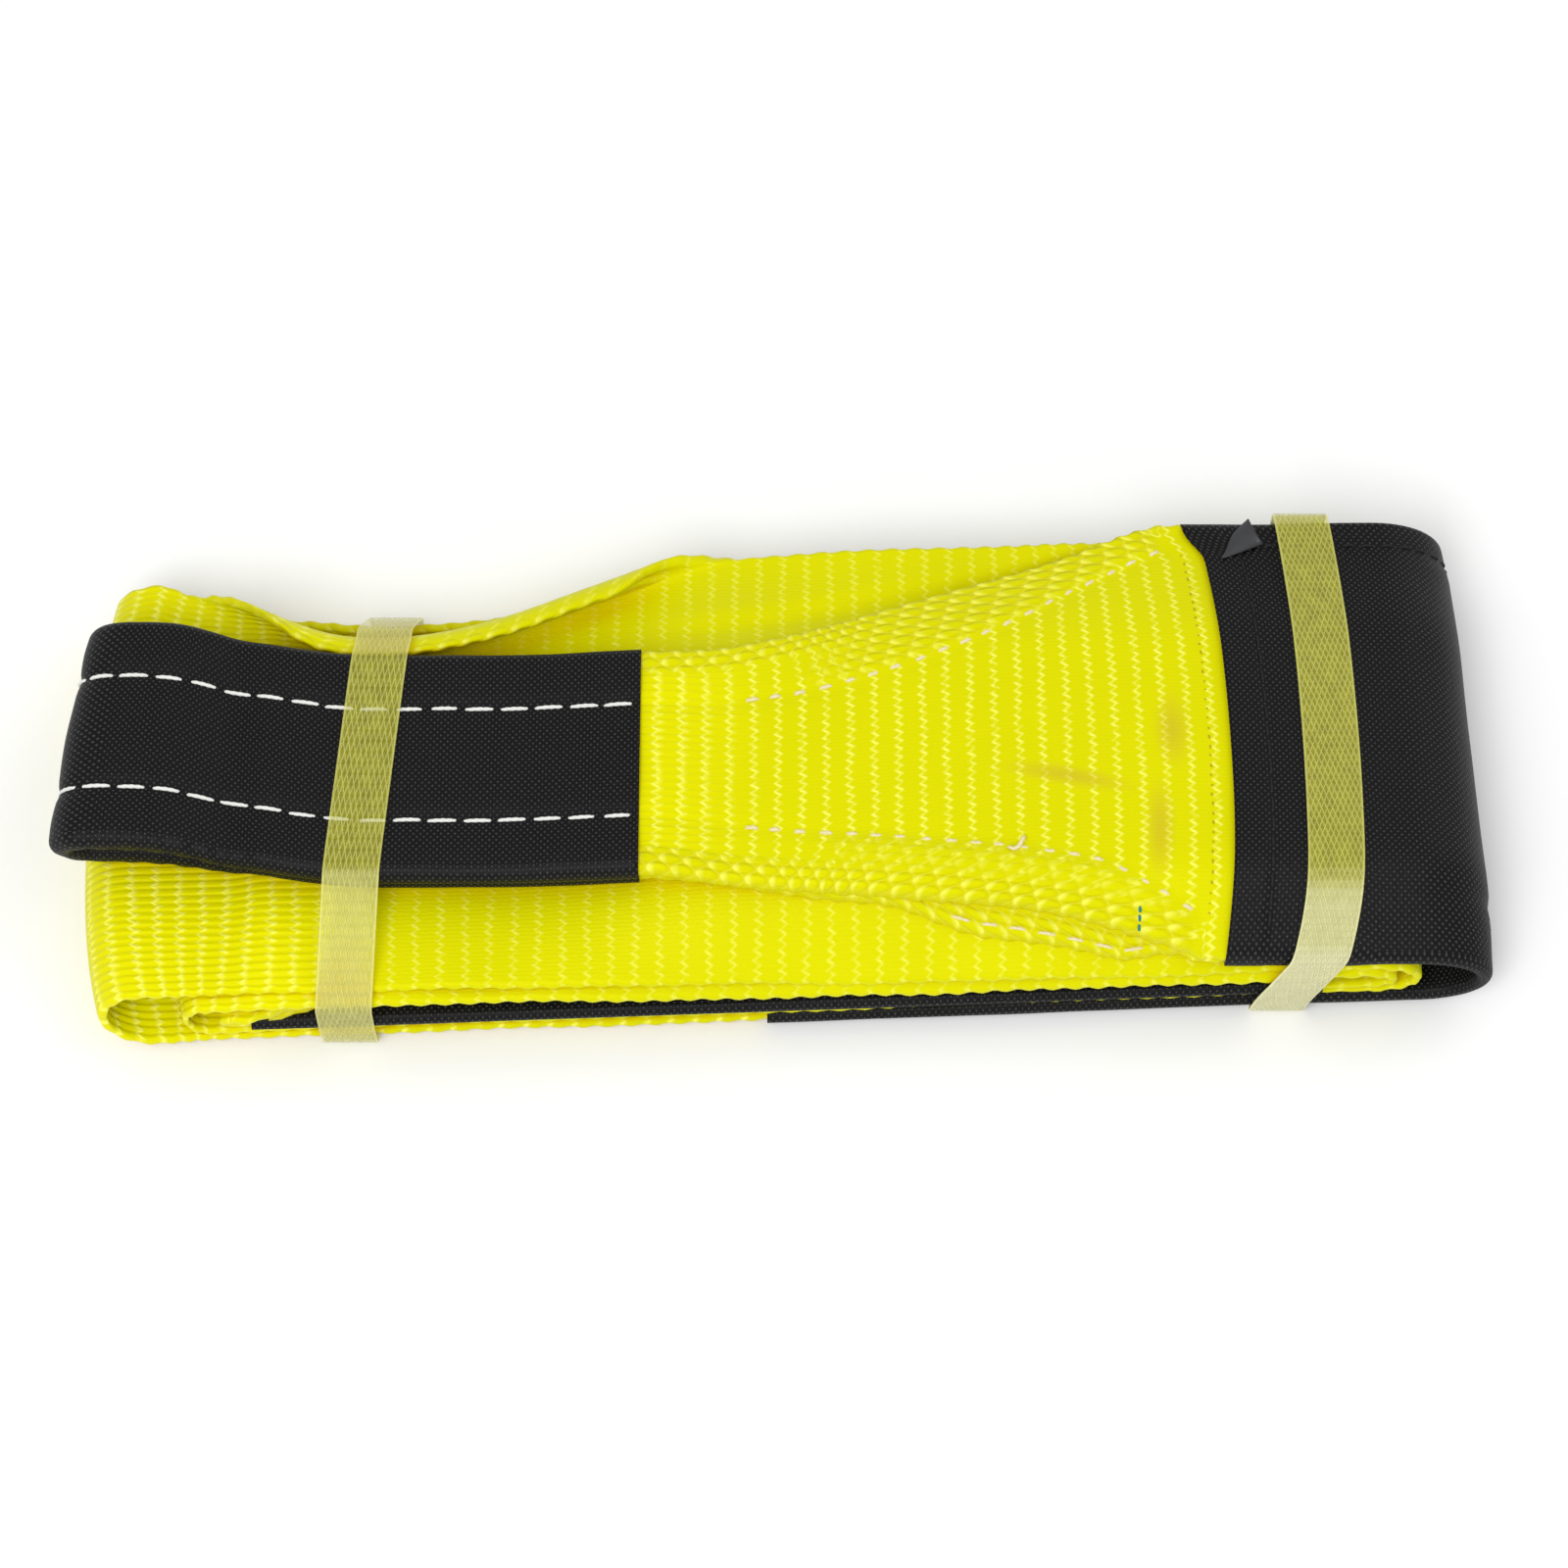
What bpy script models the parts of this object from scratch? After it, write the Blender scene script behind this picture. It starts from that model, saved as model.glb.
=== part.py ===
"""A webbing recovery strap with a sleeved eye at each end, folded into a flat roll and held by two bands.

The roll lies on the XY plane: +X along the bundle, +Y across the webbing, +Z up, with the origin below the
middle of the bundle. The strap is one strip. From outside to inside it runs over the top, round the right
end, back underneath, round the left end, and so on inwards to the rear eye. Lengths are in millimetres until
the last step, which scales them to metres.
"""
import math
from collections import namedtuple

import bmesh
import bpy
from mathutils import Vector

MM = 0.001

# Materials as bought
WEB_WIDTH = 100.0
WEB_THICK = 2.0
CLOTH = 0.5
BAND_WIDTH = 12.0
BAND_THICK = 0.7
THREAD_WIDTH = 1.1
THREAD_THICK = 0.4

# Play between neighbours
GAP = 0.3
SEAM_ROOM = 0.9
THREAD_GAP = 0.3
BAND_PLAY = 0.5

# Lengths along the bundle
FRONT_TIP = -151.0
FRONT_EYE_END = -29.0
FRONT_FAN_END = 92.0
FRONT_TAIL_END = 116.0
OUTER_SLEEVE_FRONT = 94.0
OUTER_SLEEVE_BACK = -2.0
INNER_SLEEVE_LEFT = -112.0
INNER_SLEEVE_RIGHT = 117.0
REAR_FAN_START = -112.0
REAR_EYE_START = 2.0
REAR_TIP = 121.0
LEFT_BAND_X = -86.0
RIGHT_BAND_X = 113.0
BAND_REACH = 18.0
SHARP_CORNER = 0.35
TO_MIDDLE = Vector((-0.65, -2.61, 0.0))

# The eyes: webbing with its edges folded to the middle
EYE_WIDTH = 51.0
EYE_THICK = 2.0 * WEB_THICK
EYE_MOUTH = 4.5
SEAM_INSET = 12.5
SEAM_INSET_AT_END = 6.0

# Heights of the stack, from the surface the bundle rests on
FLOOR = BAND_THICK + BAND_PLAY
SLEEVE_SKIN = CLOTH + GAP
BACK_LEVEL = FLOOR + SLEEVE_SKIN + WEB_THICK / 2
BACK_INNER_LEVEL = BACK_LEVEL + WEB_THICK + SLEEVE_SKIN + GAP
CORE_LEVEL = BACK_INNER_LEVEL + WEB_THICK + GAP + SLEEVE_SKIN
EYE_FLOOR = CORE_LEVEL + WEB_THICK / 2 + SLEEVE_SKIN + SEAM_ROOM
EYE_RUN = EYE_THICK + 2 * SLEEVE_SKIN
EYE_PITCH = EYE_RUN + GAP
REAR_EYE_RISE = 2 * EYE_RUN + GAP + SEAM_ROOM
FLAT_RISE = 2 * WEB_THICK + GAP + SEAM_ROOM
LEFT_BAND_RISE = 7.6
FAR_EDGE_RISE = 7.0
WEB_PITCH = WEB_THICK + GAP

# Across the bundle: the middle lies over the rear eye, and the edges sag beside it
SAG_COLUMNS = (27.0, 39.0, 51.0)
SAG_SHARES = (1.0, 0.5, 0.0)
PINCHED_EDGE = 37.5
PINCHED_BACK_EDGE = 41.0
LEFT_FOLD = -138.5
END_SKEW = 0.09
END_ROUNDING = 4.5

PLAIN_STATIONS = (-128.0, -116.0, -112.0, -108.0, -66.0, -48.0)
SHAPED_STATIONS = (-128.0, -118.0, -108.0, -66.0, -48.0, -29.0, -25.0, -14.0, -2.0, 2.0, 20.0, 44.0, 70.0,
                   84.0, 92.0, 118.0, 126.0)

Leg = namedtuple("Leg", "level rides middle width thick")
Flat = namedtuple("Flat", "leg x outward")
Bend = namedtuple("Bend", "top bottom x side depth angle")


def ease(low, high, x):
    """A smooth step from 0 at low to 1 at high."""
    t = min(1.0, max(0.0, (x - low) / (high - low)))
    return t * t * (3.0 - 2.0 * t)


def mix(a, b, share):
    return a + (b - a) * share


def sloping(left, right):
    """A centre line that runs from left at the bundle's left end to right at its right end."""
    return lambda x: mix(left, right, (x + 140.0) / 280.0)


# The rise of the front layers over the rear eye

def rear_middle(x):
    return sloping(-5.0, 3.0)(x)


def rise_in_middle(x):
    before_band = mix(FLAT_RISE, LEFT_BAND_RISE, ease(-118.0, -108.0, x))
    return mix(before_band, REAR_EYE_RISE, ease(-64.0, -4.0, x))


def rise_at_edges(x, y):
    """The near edges sag to the layer below; the far ones are held up by the stiff outer sleeve."""
    far = FAR_EDGE_RISE * ease(-40.0, 30.0, x) if y > rear_middle(x) else 0.0
    return FLAT_RISE * (1.0 - ease(-62.0, 20.0, x)) + far


def rise(x, y):
    """How far the front layers are lifted at one place by the rear eye and its fan."""
    out = abs(y - rear_middle(x))
    share = 0.0
    if out <= SAG_COLUMNS[0]:
        share = 1.0
    for near, far, start, stop in zip(SAG_COLUMNS, SAG_COLUMNS[1:], SAG_SHARES, SAG_SHARES[1:]):
        if near < out <= far:
            share = mix(start, stop, (out - near) / (far - near))
    edge = rise_at_edges(x, y)
    return edge + (rise_in_middle(x) - edge) * share


# The legs of the strip

def fan_width(share):
    """Width of a fan, which opens from the folded eye (0) to the flat webbing (1)."""
    return mix(EYE_WIDTH, WEB_WIDTH, share)


def fan_thick(share):
    """Thickness that keeps the same amount of webbing in each section of a fan."""
    return min(EYE_THICK, WEB_WIDTH * WEB_THICK / fan_width(share))


def front_share(x):
    return min(1.0, max(0.0, (x - FRONT_EYE_END) / (FRONT_FAN_END - FRONT_EYE_END)))


def rear_share(x):
    return min(1.0, max(0.0, (REAR_EYE_START - x) / (REAR_EYE_START - REAR_FAN_START)))


def front_middle(x):
    return 7.5 - 10.5 * ease(80.0, -20.0, x) + 7.0 * ease(-85.0, -140.0, x)


def front_tail_middle(x):
    peek = ease(20.0, 45.0, x) * (1.0 - ease(72.0, 88.0, x))
    return front_middle(x) - 4.5 * peek + 1.5 * ease(10.0, -20.0, x)


def front_stack(x):
    """Heights of the front eye's lower and upper legs above the layers that they lie on."""
    thick = fan_thick(front_share(x))
    in_eye = 1.0 - ease(FRONT_EYE_END, -8.0, x)
    in_sleeve = ease(70.0, OUTER_SLEEVE_FRONT - 4.0, x)
    base = 2 * WEB_PITCH + thick / 2
    lower = base + in_eye * (SEAM_ROOM - GAP + SLEEVE_SKIN) + in_sleeve * SLEEVE_SKIN
    upper = lower + mix(thick + GAP, EYE_PITCH, in_eye)
    mouth = EYE_MOUTH * (1.0 - ease(-132.0, -108.0, x))
    return lower, upper + mouth


def rear_stack(x):
    """Heights of the rear eye's lower and upper legs above the core."""
    thick = fan_thick(rear_share(x))
    in_eye = ease(-18.0, REAR_EYE_START, x)
    lower = EYE_FLOOR + thick / 2 + in_eye * SLEEVE_SKIN
    return lower, lower + mix(thick + GAP, EYE_PITCH, in_eye)


def whole_width(x):
    return WEB_WIDTH


def whole_thick(x):
    return WEB_THICK


BACK_OUTER = Leg(lambda x: BACK_LEVEL, False, sloping(-4.0, 7.0), whole_width, whole_thick)
BACK_INNER = Leg(lambda x: BACK_INNER_LEVEL, False, sloping(-3.6, 7.5), whole_width, whole_thick)
CORE = Leg(lambda x: CORE_LEVEL, False, sloping(-3.5, 7.0), whole_width, whole_thick)
THIRD = Leg(lambda x: EYE_FLOOR + WEB_THICK / 2, True, sloping(-3.6, 7.0), whole_width, whole_thick)
SECOND = Leg(lambda x: EYE_FLOOR + WEB_PITCH + WEB_THICK / 2, True, sloping(-0.5, 7.5), whole_width, whole_thick)
FRONT_UPPER = Leg(lambda x: EYE_FLOOR + front_stack(x)[1], True, front_middle,
                  lambda x: fan_width(front_share(x)), lambda x: fan_thick(front_share(x)))
FRONT_LOWER = Leg(lambda x: EYE_FLOOR + front_stack(x)[0], True, front_tail_middle,
                  lambda x: fan_width(front_share(x)), lambda x: fan_thick(front_share(x)))
REAR_UPPER = Leg(lambda x: rear_stack(x)[1], False, rear_middle,
                 lambda x: fan_width(rear_share(x)), lambda x: fan_thick(rear_share(x)))
REAR_LOWER = Leg(lambda x: rear_stack(x)[0], False, rear_middle,
                 lambda x: fan_width(rear_share(x)), lambda x: fan_thick(rear_share(x)))


def height(leg, x, y):
    lift = rise(x, y) if leg.rides else 0.0
    return leg.level(x) + lift


# Routes along the strip

def run(leg, start, stop):
    """Flat stations along a leg from start to stop; the strip's outer face is up on the way right."""
    outward = 1.0 if stop > start else -1.0
    marks = PLAIN_STATIONS if leg in (BACK_OUTER, BACK_INNER, CORE) else SHAPED_STATIONS
    inner = [x for x in marks if min(start, stop) + 0.5 < x < max(start, stop) - 0.5]
    if outward < 0:
        inner.reverse()
    return [Flat(leg, x, outward) for x in [start] + inner + [stop]]


def bend(top, bottom, x, side, depth, steps, downward=True):
    """Stations round a fold, without its two ends, which belong to the flat runs."""
    angles = [math.pi * i / steps for i in range(1, steps)]
    if not downward:
        angles.reverse()
    return [Bend(top, bottom, x, side, depth, angle) for angle in angles]


def settle(x, y):
    """The ends of the roll are a little skewed at the right and rounded at the left."""
    skew = -END_SKEW * y * ease(92.0, 132.0, x)
    return x + skew + END_ROUNDING * min(1.2, abs(y) / 50.0) ** 3 * ease(-116.0, -138.0, x)


def place(station, y, out):
    """The point at y across the station and out from the strip's middle towards its outer face."""
    if isinstance(station, Flat):
        z = height(station.leg, station.x, y) + station.outward * out
        return Vector((settle(station.x, y), y, z))
    high = height(station.top, station.x, y)
    low = height(station.bottom, station.x, y)
    half = (high - low) / 2
    across = math.sin(station.angle)
    up = math.cos(station.angle)
    normal = Vector((station.side * half * across, station.depth * up)).normalized()
    x = station.x + station.side * station.depth * across + normal.x * out
    z = (high + low) / 2 + half * up + normal.y * out
    return Vector((settle(x, y), y, z))


def leg_value(station, name):
    if isinstance(station, Flat):
        return getattr(station.leg, name)(station.x)
    share = (1.0 - math.cos(station.angle)) / 2
    top = getattr(station.top, name)(station.x)
    return mix(top, getattr(station.bottom, name)(station.x), share)


def side_limits(station, extra=0.0):
    """The strip's near and far edges; the left band pulls the far edges of the roll in."""
    middle = leg_value(station, "middle")
    half = leg_value(station, "width") / 2
    x = station.x
    free = ease(-66.0, -44.0, x) + 1.0 - ease(-130.0, -108.0, x)
    rides = not isinstance(station, Flat) or station.leg.rides
    pinch = mix(PINCHED_EDGE if rides else PINCHED_BACK_EDGE, 70.0, min(1.0, free))
    return middle - half - extra, min(middle + half, pinch) + extra


def columns(station, extra=0.0):
    """Places across the strip where its section bends."""
    near, far = side_limits(station, extra)
    middle = rear_middle(station.x)
    marks = [middle - out for out in reversed(SAG_COLUMNS[:-1])]
    marks += [middle + out for out in SAG_COLUMNS[:-1]]
    inside = []
    for i, mark in enumerate(marks):
        lowest = near + 1.0 * (i + 1)
        highest = far - 1.0 * (len(marks) - i)
        inside.append(min(highest, max(lowest, mark)))
    return [near] + inside + [far]


def on_facets(station, y, out, extra=0.0):
    """Like place, but on the flat facet between two columns of the section."""
    across = columns(station, extra)
    for low, high in zip(across, across[1:]):
        if y <= high or high == across[-1]:
            share = (y - low) / (high - low)
            return place(station, low, out).lerp(place(station, high, out), share)


# The routes of the pieces

def webbing_route():
    route = run(FRONT_LOWER, FRONT_TAIL_END, FRONT_TIP + 8.0)
    route += front_tip()
    route += run(FRONT_UPPER, FRONT_TIP + 8.0, 134.0)
    route += right_outer_bend()
    route += run(BACK_OUTER, 134.0, LEFT_FOLD)
    route += bend(SECOND, BACK_OUTER, LEFT_FOLD, -1.0, 10.0, 7, downward=False)
    route += run(SECOND, LEFT_FOLD, 126.0)
    route += bend(SECOND, BACK_INNER, 126.0, 1.0, 9.0, 7)
    route += run(BACK_INNER, 126.0, -122.0)
    route += bend(THIRD, BACK_INNER, -122.0, -1.0, 7.0, 6, downward=False)
    route += run(THIRD, -122.0, 124.0)
    route += right_inner_bend()
    route += run(CORE, 124.0, -115.0)
    route += bend(REAR_UPPER, CORE, -115.0, -1.0, 3.0, 5, downward=False)
    route += run(REAR_UPPER, -115.0, REAR_TIP - 3.0)
    route += rear_tip()
    route += run(REAR_LOWER, REAR_TIP - 3.0, -108.0)
    return route


def front_tip():
    return bend(FRONT_UPPER, FRONT_LOWER, FRONT_TIP + 8.0, -1.0, 7.0, 8, downward=False)


def rear_tip():
    return bend(REAR_UPPER, REAR_LOWER, REAR_TIP - 3.0, 1.0, 2.9, 6)


def right_outer_bend():
    return bend(FRONT_UPPER, BACK_OUTER, 134.0, 1.0, 15.0, 9)


def right_inner_bend():
    return bend(THIRD, CORE, 124.0, 1.0, 6.0, 7)


def front_sleeve_route():
    route = run(FRONT_LOWER, FRONT_EYE_END, FRONT_TIP + 8.0)
    route += front_tip()
    return route + run(FRONT_UPPER, FRONT_TIP + 8.0, FRONT_EYE_END)


def rear_sleeve_route():
    route = run(REAR_UPPER, REAR_EYE_START, REAR_TIP - 3.0)
    route += rear_tip()
    return route + run(REAR_LOWER, REAR_TIP - 3.0, REAR_EYE_START)


def outer_sleeve_route():
    route = run(FRONT_UPPER, OUTER_SLEEVE_FRONT, 134.0)
    route += right_outer_bend()
    return route + run(BACK_OUTER, 134.0, OUTER_SLEEVE_BACK)


def inner_sleeve_route():
    return run(CORE, INNER_SLEEVE_RIGHT, INNER_SLEEVE_LEFT)


# Mesh builders

def material(name, colour, roughness):
    made = bpy.data.materials.new(name)
    made.use_nodes = True
    shader = made.node_tree.nodes["Principled BSDF"]
    shader.inputs["Base Color"].default_value = (*colour, 1.0)
    shader.inputs["Roughness"].default_value = roughness
    return made


def lofted(rings):
    """An open tube through the rings, which all have the same number of points."""
    around = len(rings[0])
    mesh = bmesh.new()
    made = bmesh.ops.create_grid(mesh, x_segments=len(rings) - 1, y_segments=around, size=1.0)
    for vert in made["verts"]:
        i = round((vert.co.x + 1.0) / 2.0 * (len(rings) - 1))
        j = round((vert.co.y + 1.0) / 2.0 * around) % around
        vert.co = (rings[i][j] + TO_MIDDLE) * MM
    bmesh.ops.remove_doubles(mesh, verts=mesh.verts, dist=1e-7)
    return mesh


def node(name, mesh, look, shell=0.0, parent=None):
    """Makes the named object of a sub-part from its mesh."""
    bmesh.ops.recalc_face_normals(mesh, faces=mesh.faces)
    data = bpy.data.meshes.new(name)
    mesh.to_mesh(data)
    mesh.free()
    data.materials.append(look)
    part = bpy.data.objects.new(name, data)
    bpy.data.collections["folded_recovery_strap"].objects.link(part)
    if shell:
        solidify = part.modifiers.new("wall", "SOLIDIFY")
        solidify.thickness = shell * MM
        solidify.offset = 0.0
        solidify.use_even_offset = True
    part.parent = parent


def strip_rings(route):
    rings = []
    for station in route:
        half = leg_value(station, "thick") / 2
        across = columns(station)
        outer = [place(station, y, half) for y in across]
        inner = [place(station, y, -half) for y in reversed(across)]
        rings.append(outer + inner)
    return rings


def capped(rings):
    mesh = lofted(rings)
    rim = [edge for edge in mesh.edges if edge.is_boundary]
    bmesh.ops.holes_fill(mesh, edges=rim, sides=0)
    return mesh


def sleeve_rings(route, inner_reach):
    """Middle of a sleeve's wall; inner_reach gives how far its inner side lies from the strip's middle."""
    rings = []
    for station in route:
        wall = GAP + CLOTH / 2
        outer = leg_value(station, "thick") / 2 + wall
        across = columns(station, extra=wall)
        over = [place(station, y, outer) for y in across]
        under = [place(station, y, -inner_reach(station)) for y in reversed(across)]
        rings.append(over + under)
    return rings


def close_reach(station):
    return leg_value(station, "thick") / 2 + GAP + CLOTH / 2


def reach_past_tail(station):
    """The outer wear sleeve also holds the front tail, up to the tail's end."""
    tail = 0.0
    if isinstance(station, Flat) and station.leg is FRONT_UPPER:
        tail = WEB_PITCH * (1.0 - ease(FRONT_TAIL_END + 2.0, 128.0, station.x))
    return close_reach(station) + tail


def along_row(route, y_of, surface_of, extra=0.0):
    """A flat closed strand that runs along a route, just off the outer face at surface_of."""
    rings = []
    for station in route:
        y = y_of(station)
        low = surface_of(station) + THREAD_GAP
        high = low + THREAD_THICK
        half = THREAD_WIDTH / 2
        rings.append([on_facets(station, y - half, low, extra), on_facets(station, y + half, low, extra),
                      on_facets(station, y + half, high, extra), on_facets(station, y - half, high, extra)])
    return capped(rings)


def across_row(station, surface, margin, extra=0.0):
    """A strand straight across the strip at one station."""
    across = columns(station, extra)
    near = across[0] + margin
    far = across[-1] - margin
    marks = [near] + [y for y in across if near < y < far] + [far]
    low = surface + THREAD_GAP
    shift = Vector((THREAD_WIDTH / 2, 0.0, 0.0))
    rings = []
    for y in marks:
        under = on_facets(station, y, low, extra)
        over = on_facets(station, y, low + THREAD_THICK, extra)
        rings.append([under - shift, under + shift, over + shift, over - shift])
    return capped(rings)


def edge_row(route, side, extra):
    """A strand along the side of a strip, beside its edge."""
    up = Vector((0.0, 0.0, THREAD_WIDTH / 2))
    rings = []
    for station in route:
        edge = side_limits(station)[0 if side < 0 else 1] + side * (extra + THREAD_GAP)
        inside = place(station, edge, 0.0)
        outside = place(station, edge + side * THREAD_THICK, 0.0)
        rings.append([inside - up, outside - up, outside + up, inside + up])
    return capped(rings)


# Webbing and sleeves

def add_webbing(look):
    node("strap_webbing", capped(strip_rings(webbing_route())), look)


def add_sleeves(look):
    sleeves = (("front_eye_sleeve", front_sleeve_route(), close_reach),
               ("rear_eye_sleeve", rear_sleeve_route(), close_reach),
               ("outer_wear_sleeve", outer_sleeve_route(), reach_past_tail),
               ("inner_wear_sleeve", inner_sleeve_route(), close_reach))
    for name, route, inner_reach in sleeves:
        node(name, lofted(sleeve_rings(route, inner_reach)), look, CLOTH)


# Seams

def on_webbing(station):
    return leg_value(station, "thick") / 2


def on_sleeve(station):
    return leg_value(station, "thick") / 2 + SLEEVE_SKIN


def on_front_eye(station):
    """The seam climbs from the bare fan onto the sleeve."""
    covered = 1.0 - ease(FRONT_EYE_END, FRONT_EYE_END + 4.0, station.x)
    return on_webbing(station) + SLEEVE_SKIN * covered


def on_rear_eye(station):
    covered = ease(REAR_EYE_START - 4.0, REAR_EYE_START, station.x)
    return on_webbing(station) + SLEEVE_SKIN * covered


def fan_seam_y(side, share_of):
    """A seam line that keeps inside the folded flap and nears the edge where the fan is open."""
    def y_of(station):
        inset = mix(SEAM_INSET, SEAM_INSET_AT_END, ease(0.15, 1.0, share_of(station.x)))
        y = leg_value(station, "middle") + side * (leg_value(station, "width") / 2 - inset)
        for out in SAG_COLUMNS:
            crease = rear_middle(station.x) + side * out
            if abs(y - crease) < 3.5:
                return crease
        return y
    return y_of


def add_front_eye_seams(look):
    for name, side in (("front_eye_far_seam", 1.0), ("front_eye_near_seam", -1.0)):
        route = run(FRONT_LOWER, FRONT_EYE_END - 4.0, FRONT_TIP + 8.0)
        route += front_tip()
        route += run(FRONT_UPPER, FRONT_TIP + 8.0, 84.0)
        node(name, along_row(route, fan_seam_y(side, front_share), on_front_eye), look)


def add_rear_eye_seams(look):
    for name, side in (("rear_eye_far_seam", 1.0), ("rear_eye_near_seam", -1.0)):
        route = run(REAR_UPPER, -100.0, REAR_TIP - 3.0)
        route += rear_tip()
        node(name, along_row(route, fan_seam_y(side, rear_share), on_rear_eye), look)


def add_tail_seams(look):
    """A row along each tail's near edge: the front one shows beside the upper leg, the rear one is hidden."""
    def near_edge(station):
        return side_limits(station)[0] + 1.6
    front = [Flat(FRONT_LOWER, x, 1.0) for x in SHAPED_STATIONS if 40.0 < x < 80.0]
    node("front_tail_seam", along_row(front, near_edge, on_webbing), look)
    rear = [Flat(REAR_LOWER, x, -1.0) for x in SHAPED_STATIONS if -110.0 < x < -40.0]
    node("rear_tail_seam", edge_row(rear, -1.0, 0.0), look)


def add_bar_stitches(look):
    front = Flat(FRONT_UPPER, OUTER_SLEEVE_FRONT - 2.0, 1.0)
    node("front_bar_stitch", across_row(front, WEB_THICK / 2, 9.0), look)
    rear = Flat(REAR_UPPER, SHAPED_STATIONS[2], 1.0)
    node("rear_bar_stitch", across_row(rear, on_webbing(rear), 4.0), look)


def add_wear_sleeve_seams(look):
    hems = (("outer_sleeve_front_hem_seam", Flat(FRONT_UPPER, OUTER_SLEEVE_FRONT + 7.0, 1.0)),
            ("outer_sleeve_rear_hem_seam", Flat(BACK_OUTER, OUTER_SLEEVE_BACK + 7.0, -1.0)),
            ("inner_sleeve_right_hem_seam", Flat(CORE, INNER_SLEEVE_RIGHT - 7.0, 1.0)),
            ("inner_sleeve_left_hem_seam", Flat(CORE, INNER_SLEEVE_LEFT + 4.0, 1.0)))
    for name, station in hems:
        node(name, across_row(station, on_sleeve(station), 5.0, SLEEVE_SKIN), look)


def add_side_seams(look):
    def below_far_edge(station):
        return side_limits(station)[1] - 5.0
    outer = run(FRONT_UPPER, OUTER_SLEEVE_FRONT + 10.0, 134.0)
    outer += right_outer_bend()
    node("outer_sleeve_side_seam", along_row(outer, below_far_edge, on_sleeve, SLEEVE_SKIN), look)
    inner = [station for station in inner_sleeve_route() if station.x > -110.0][:-1]
    node("inner_sleeve_side_seam", edge_row(inner, 1.0, SLEEVE_SKIN), look)


# Strapping bands

def hull(points):
    """Corners of the convex outline round points in a plane, counter-clockwise."""
    ordered = sorted(set(points))

    def half_of(sequence):
        chain = []
        for point in sequence:
            while len(chain) > 1 and turn(chain[-2], chain[-1], point) <= 0.0:
                chain.pop()
            chain.append(point)
        return chain[:-1]
    return half_of(ordered) + half_of(reversed(ordered))


def turn(a, b, c):
    return (b[0] - a[0]) * (c[1] - a[1]) - (b[1] - a[1]) * (c[0] - a[0])


def section_points(centre_x, reach):
    """Every point of the bundle's outline, as (y, z), within reach of a band."""
    points = []
    stations = [Flat(leg, centre_x + step, 1.0)
                for step in (-reach, 0.0, reach)
                for leg in (BACK_OUTER, BACK_INNER, CORE, THIRD, SECOND)]
    for station in stations:
        skin = WEB_THICK / 2
        extra = 0.0
        if station.leg is CORE:
            skin += SLEEVE_SKIN
            extra = SLEEVE_SKIN
        if station.leg is BACK_OUTER:
            skin += SLEEVE_SKIN
            extra = SLEEVE_SKIN if centre_x > 0 else 0.0
        for y in columns(station, extra):
            for side in (-skin, skin):
                point = place(station, y, side)
                points.append((point.y, point.z))
    for step in (-reach, 0.0, reach):
        station = Flat(FRONT_UPPER, centre_x + step, 1.0)
        skin = leg_value(station, "thick") / 2 + SLEEVE_SKIN + THREAD_GAP + THREAD_THICK
        for y in columns(station, SLEEVE_SKIN):
            point = place(station, y, skin)
            points.append((point.y, point.z))
    return points


def band_outline(centre_x, reach):
    """The band's path as (y, z): tight round the hull, with a small radius at each corner."""
    corners = hull(section_points(centre_x, reach))
    clear = BAND_PLAY + BAND_THICK / 2
    outline = []
    for i, corner in enumerate(corners):
        before = corners[i - 1]
        after = corners[(i + 1) % len(corners)]
        start = math.atan2(before[0] - corner[0], corner[1] - before[1])
        stop = math.atan2(corner[0] - after[0], after[1] - corner[1])
        swing = (stop - start) % (2.0 * math.pi)
        shares = (0.0, 0.33, 0.67, 1.0) if swing > SHARP_CORNER else (0.5,)
        for share in shares:
            angle = start + swing * share
            outline.append((corner[0] + math.cos(angle) * clear, corner[1] + math.sin(angle) * clear))
    return outline


def left_band_x(y, z):
    return 0.085 * y - 1.0


def right_band_x(y, z):
    """The band bows over the top and slants back down the near side."""
    low = 1.0 - ease(2.0, 36.0, z)
    near = 1.0 - ease(-52.0, 52.0, y)
    return 6.0 - 0.0010 * (y + 8.0) ** 2 - 9.3 * low * near


def add_band(name, centre_x, x_at, look):
    """A band whose sliding axis runs along X through the empty that holds it."""
    axis = bpy.data.objects.new(name + "_axis", None)
    axis.location = (centre_x * MM, 0.0, 0.0)
    bpy.data.collections["folded_recovery_strap"].objects.link(axis)
    outline = band_outline(centre_x, BAND_REACH)
    mesh = bmesh.new()
    count = len(outline)
    made = bmesh.ops.create_grid(mesh, x_segments=count, y_segments=1, size=1.0)
    for vert in made["verts"]:
        y, z = outline[round((vert.co.x + 1.0) / 2.0 * count) % count]
        side = vert.co.y
        vert.co = (Vector((x_at(y, z) + side * BAND_WIDTH / 2, y, z)) + TO_MIDDLE) * MM
    bmesh.ops.remove_doubles(mesh, verts=mesh.verts, dist=1e-7)
    node(name, mesh, look, BAND_THICK, parent=axis)


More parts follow.
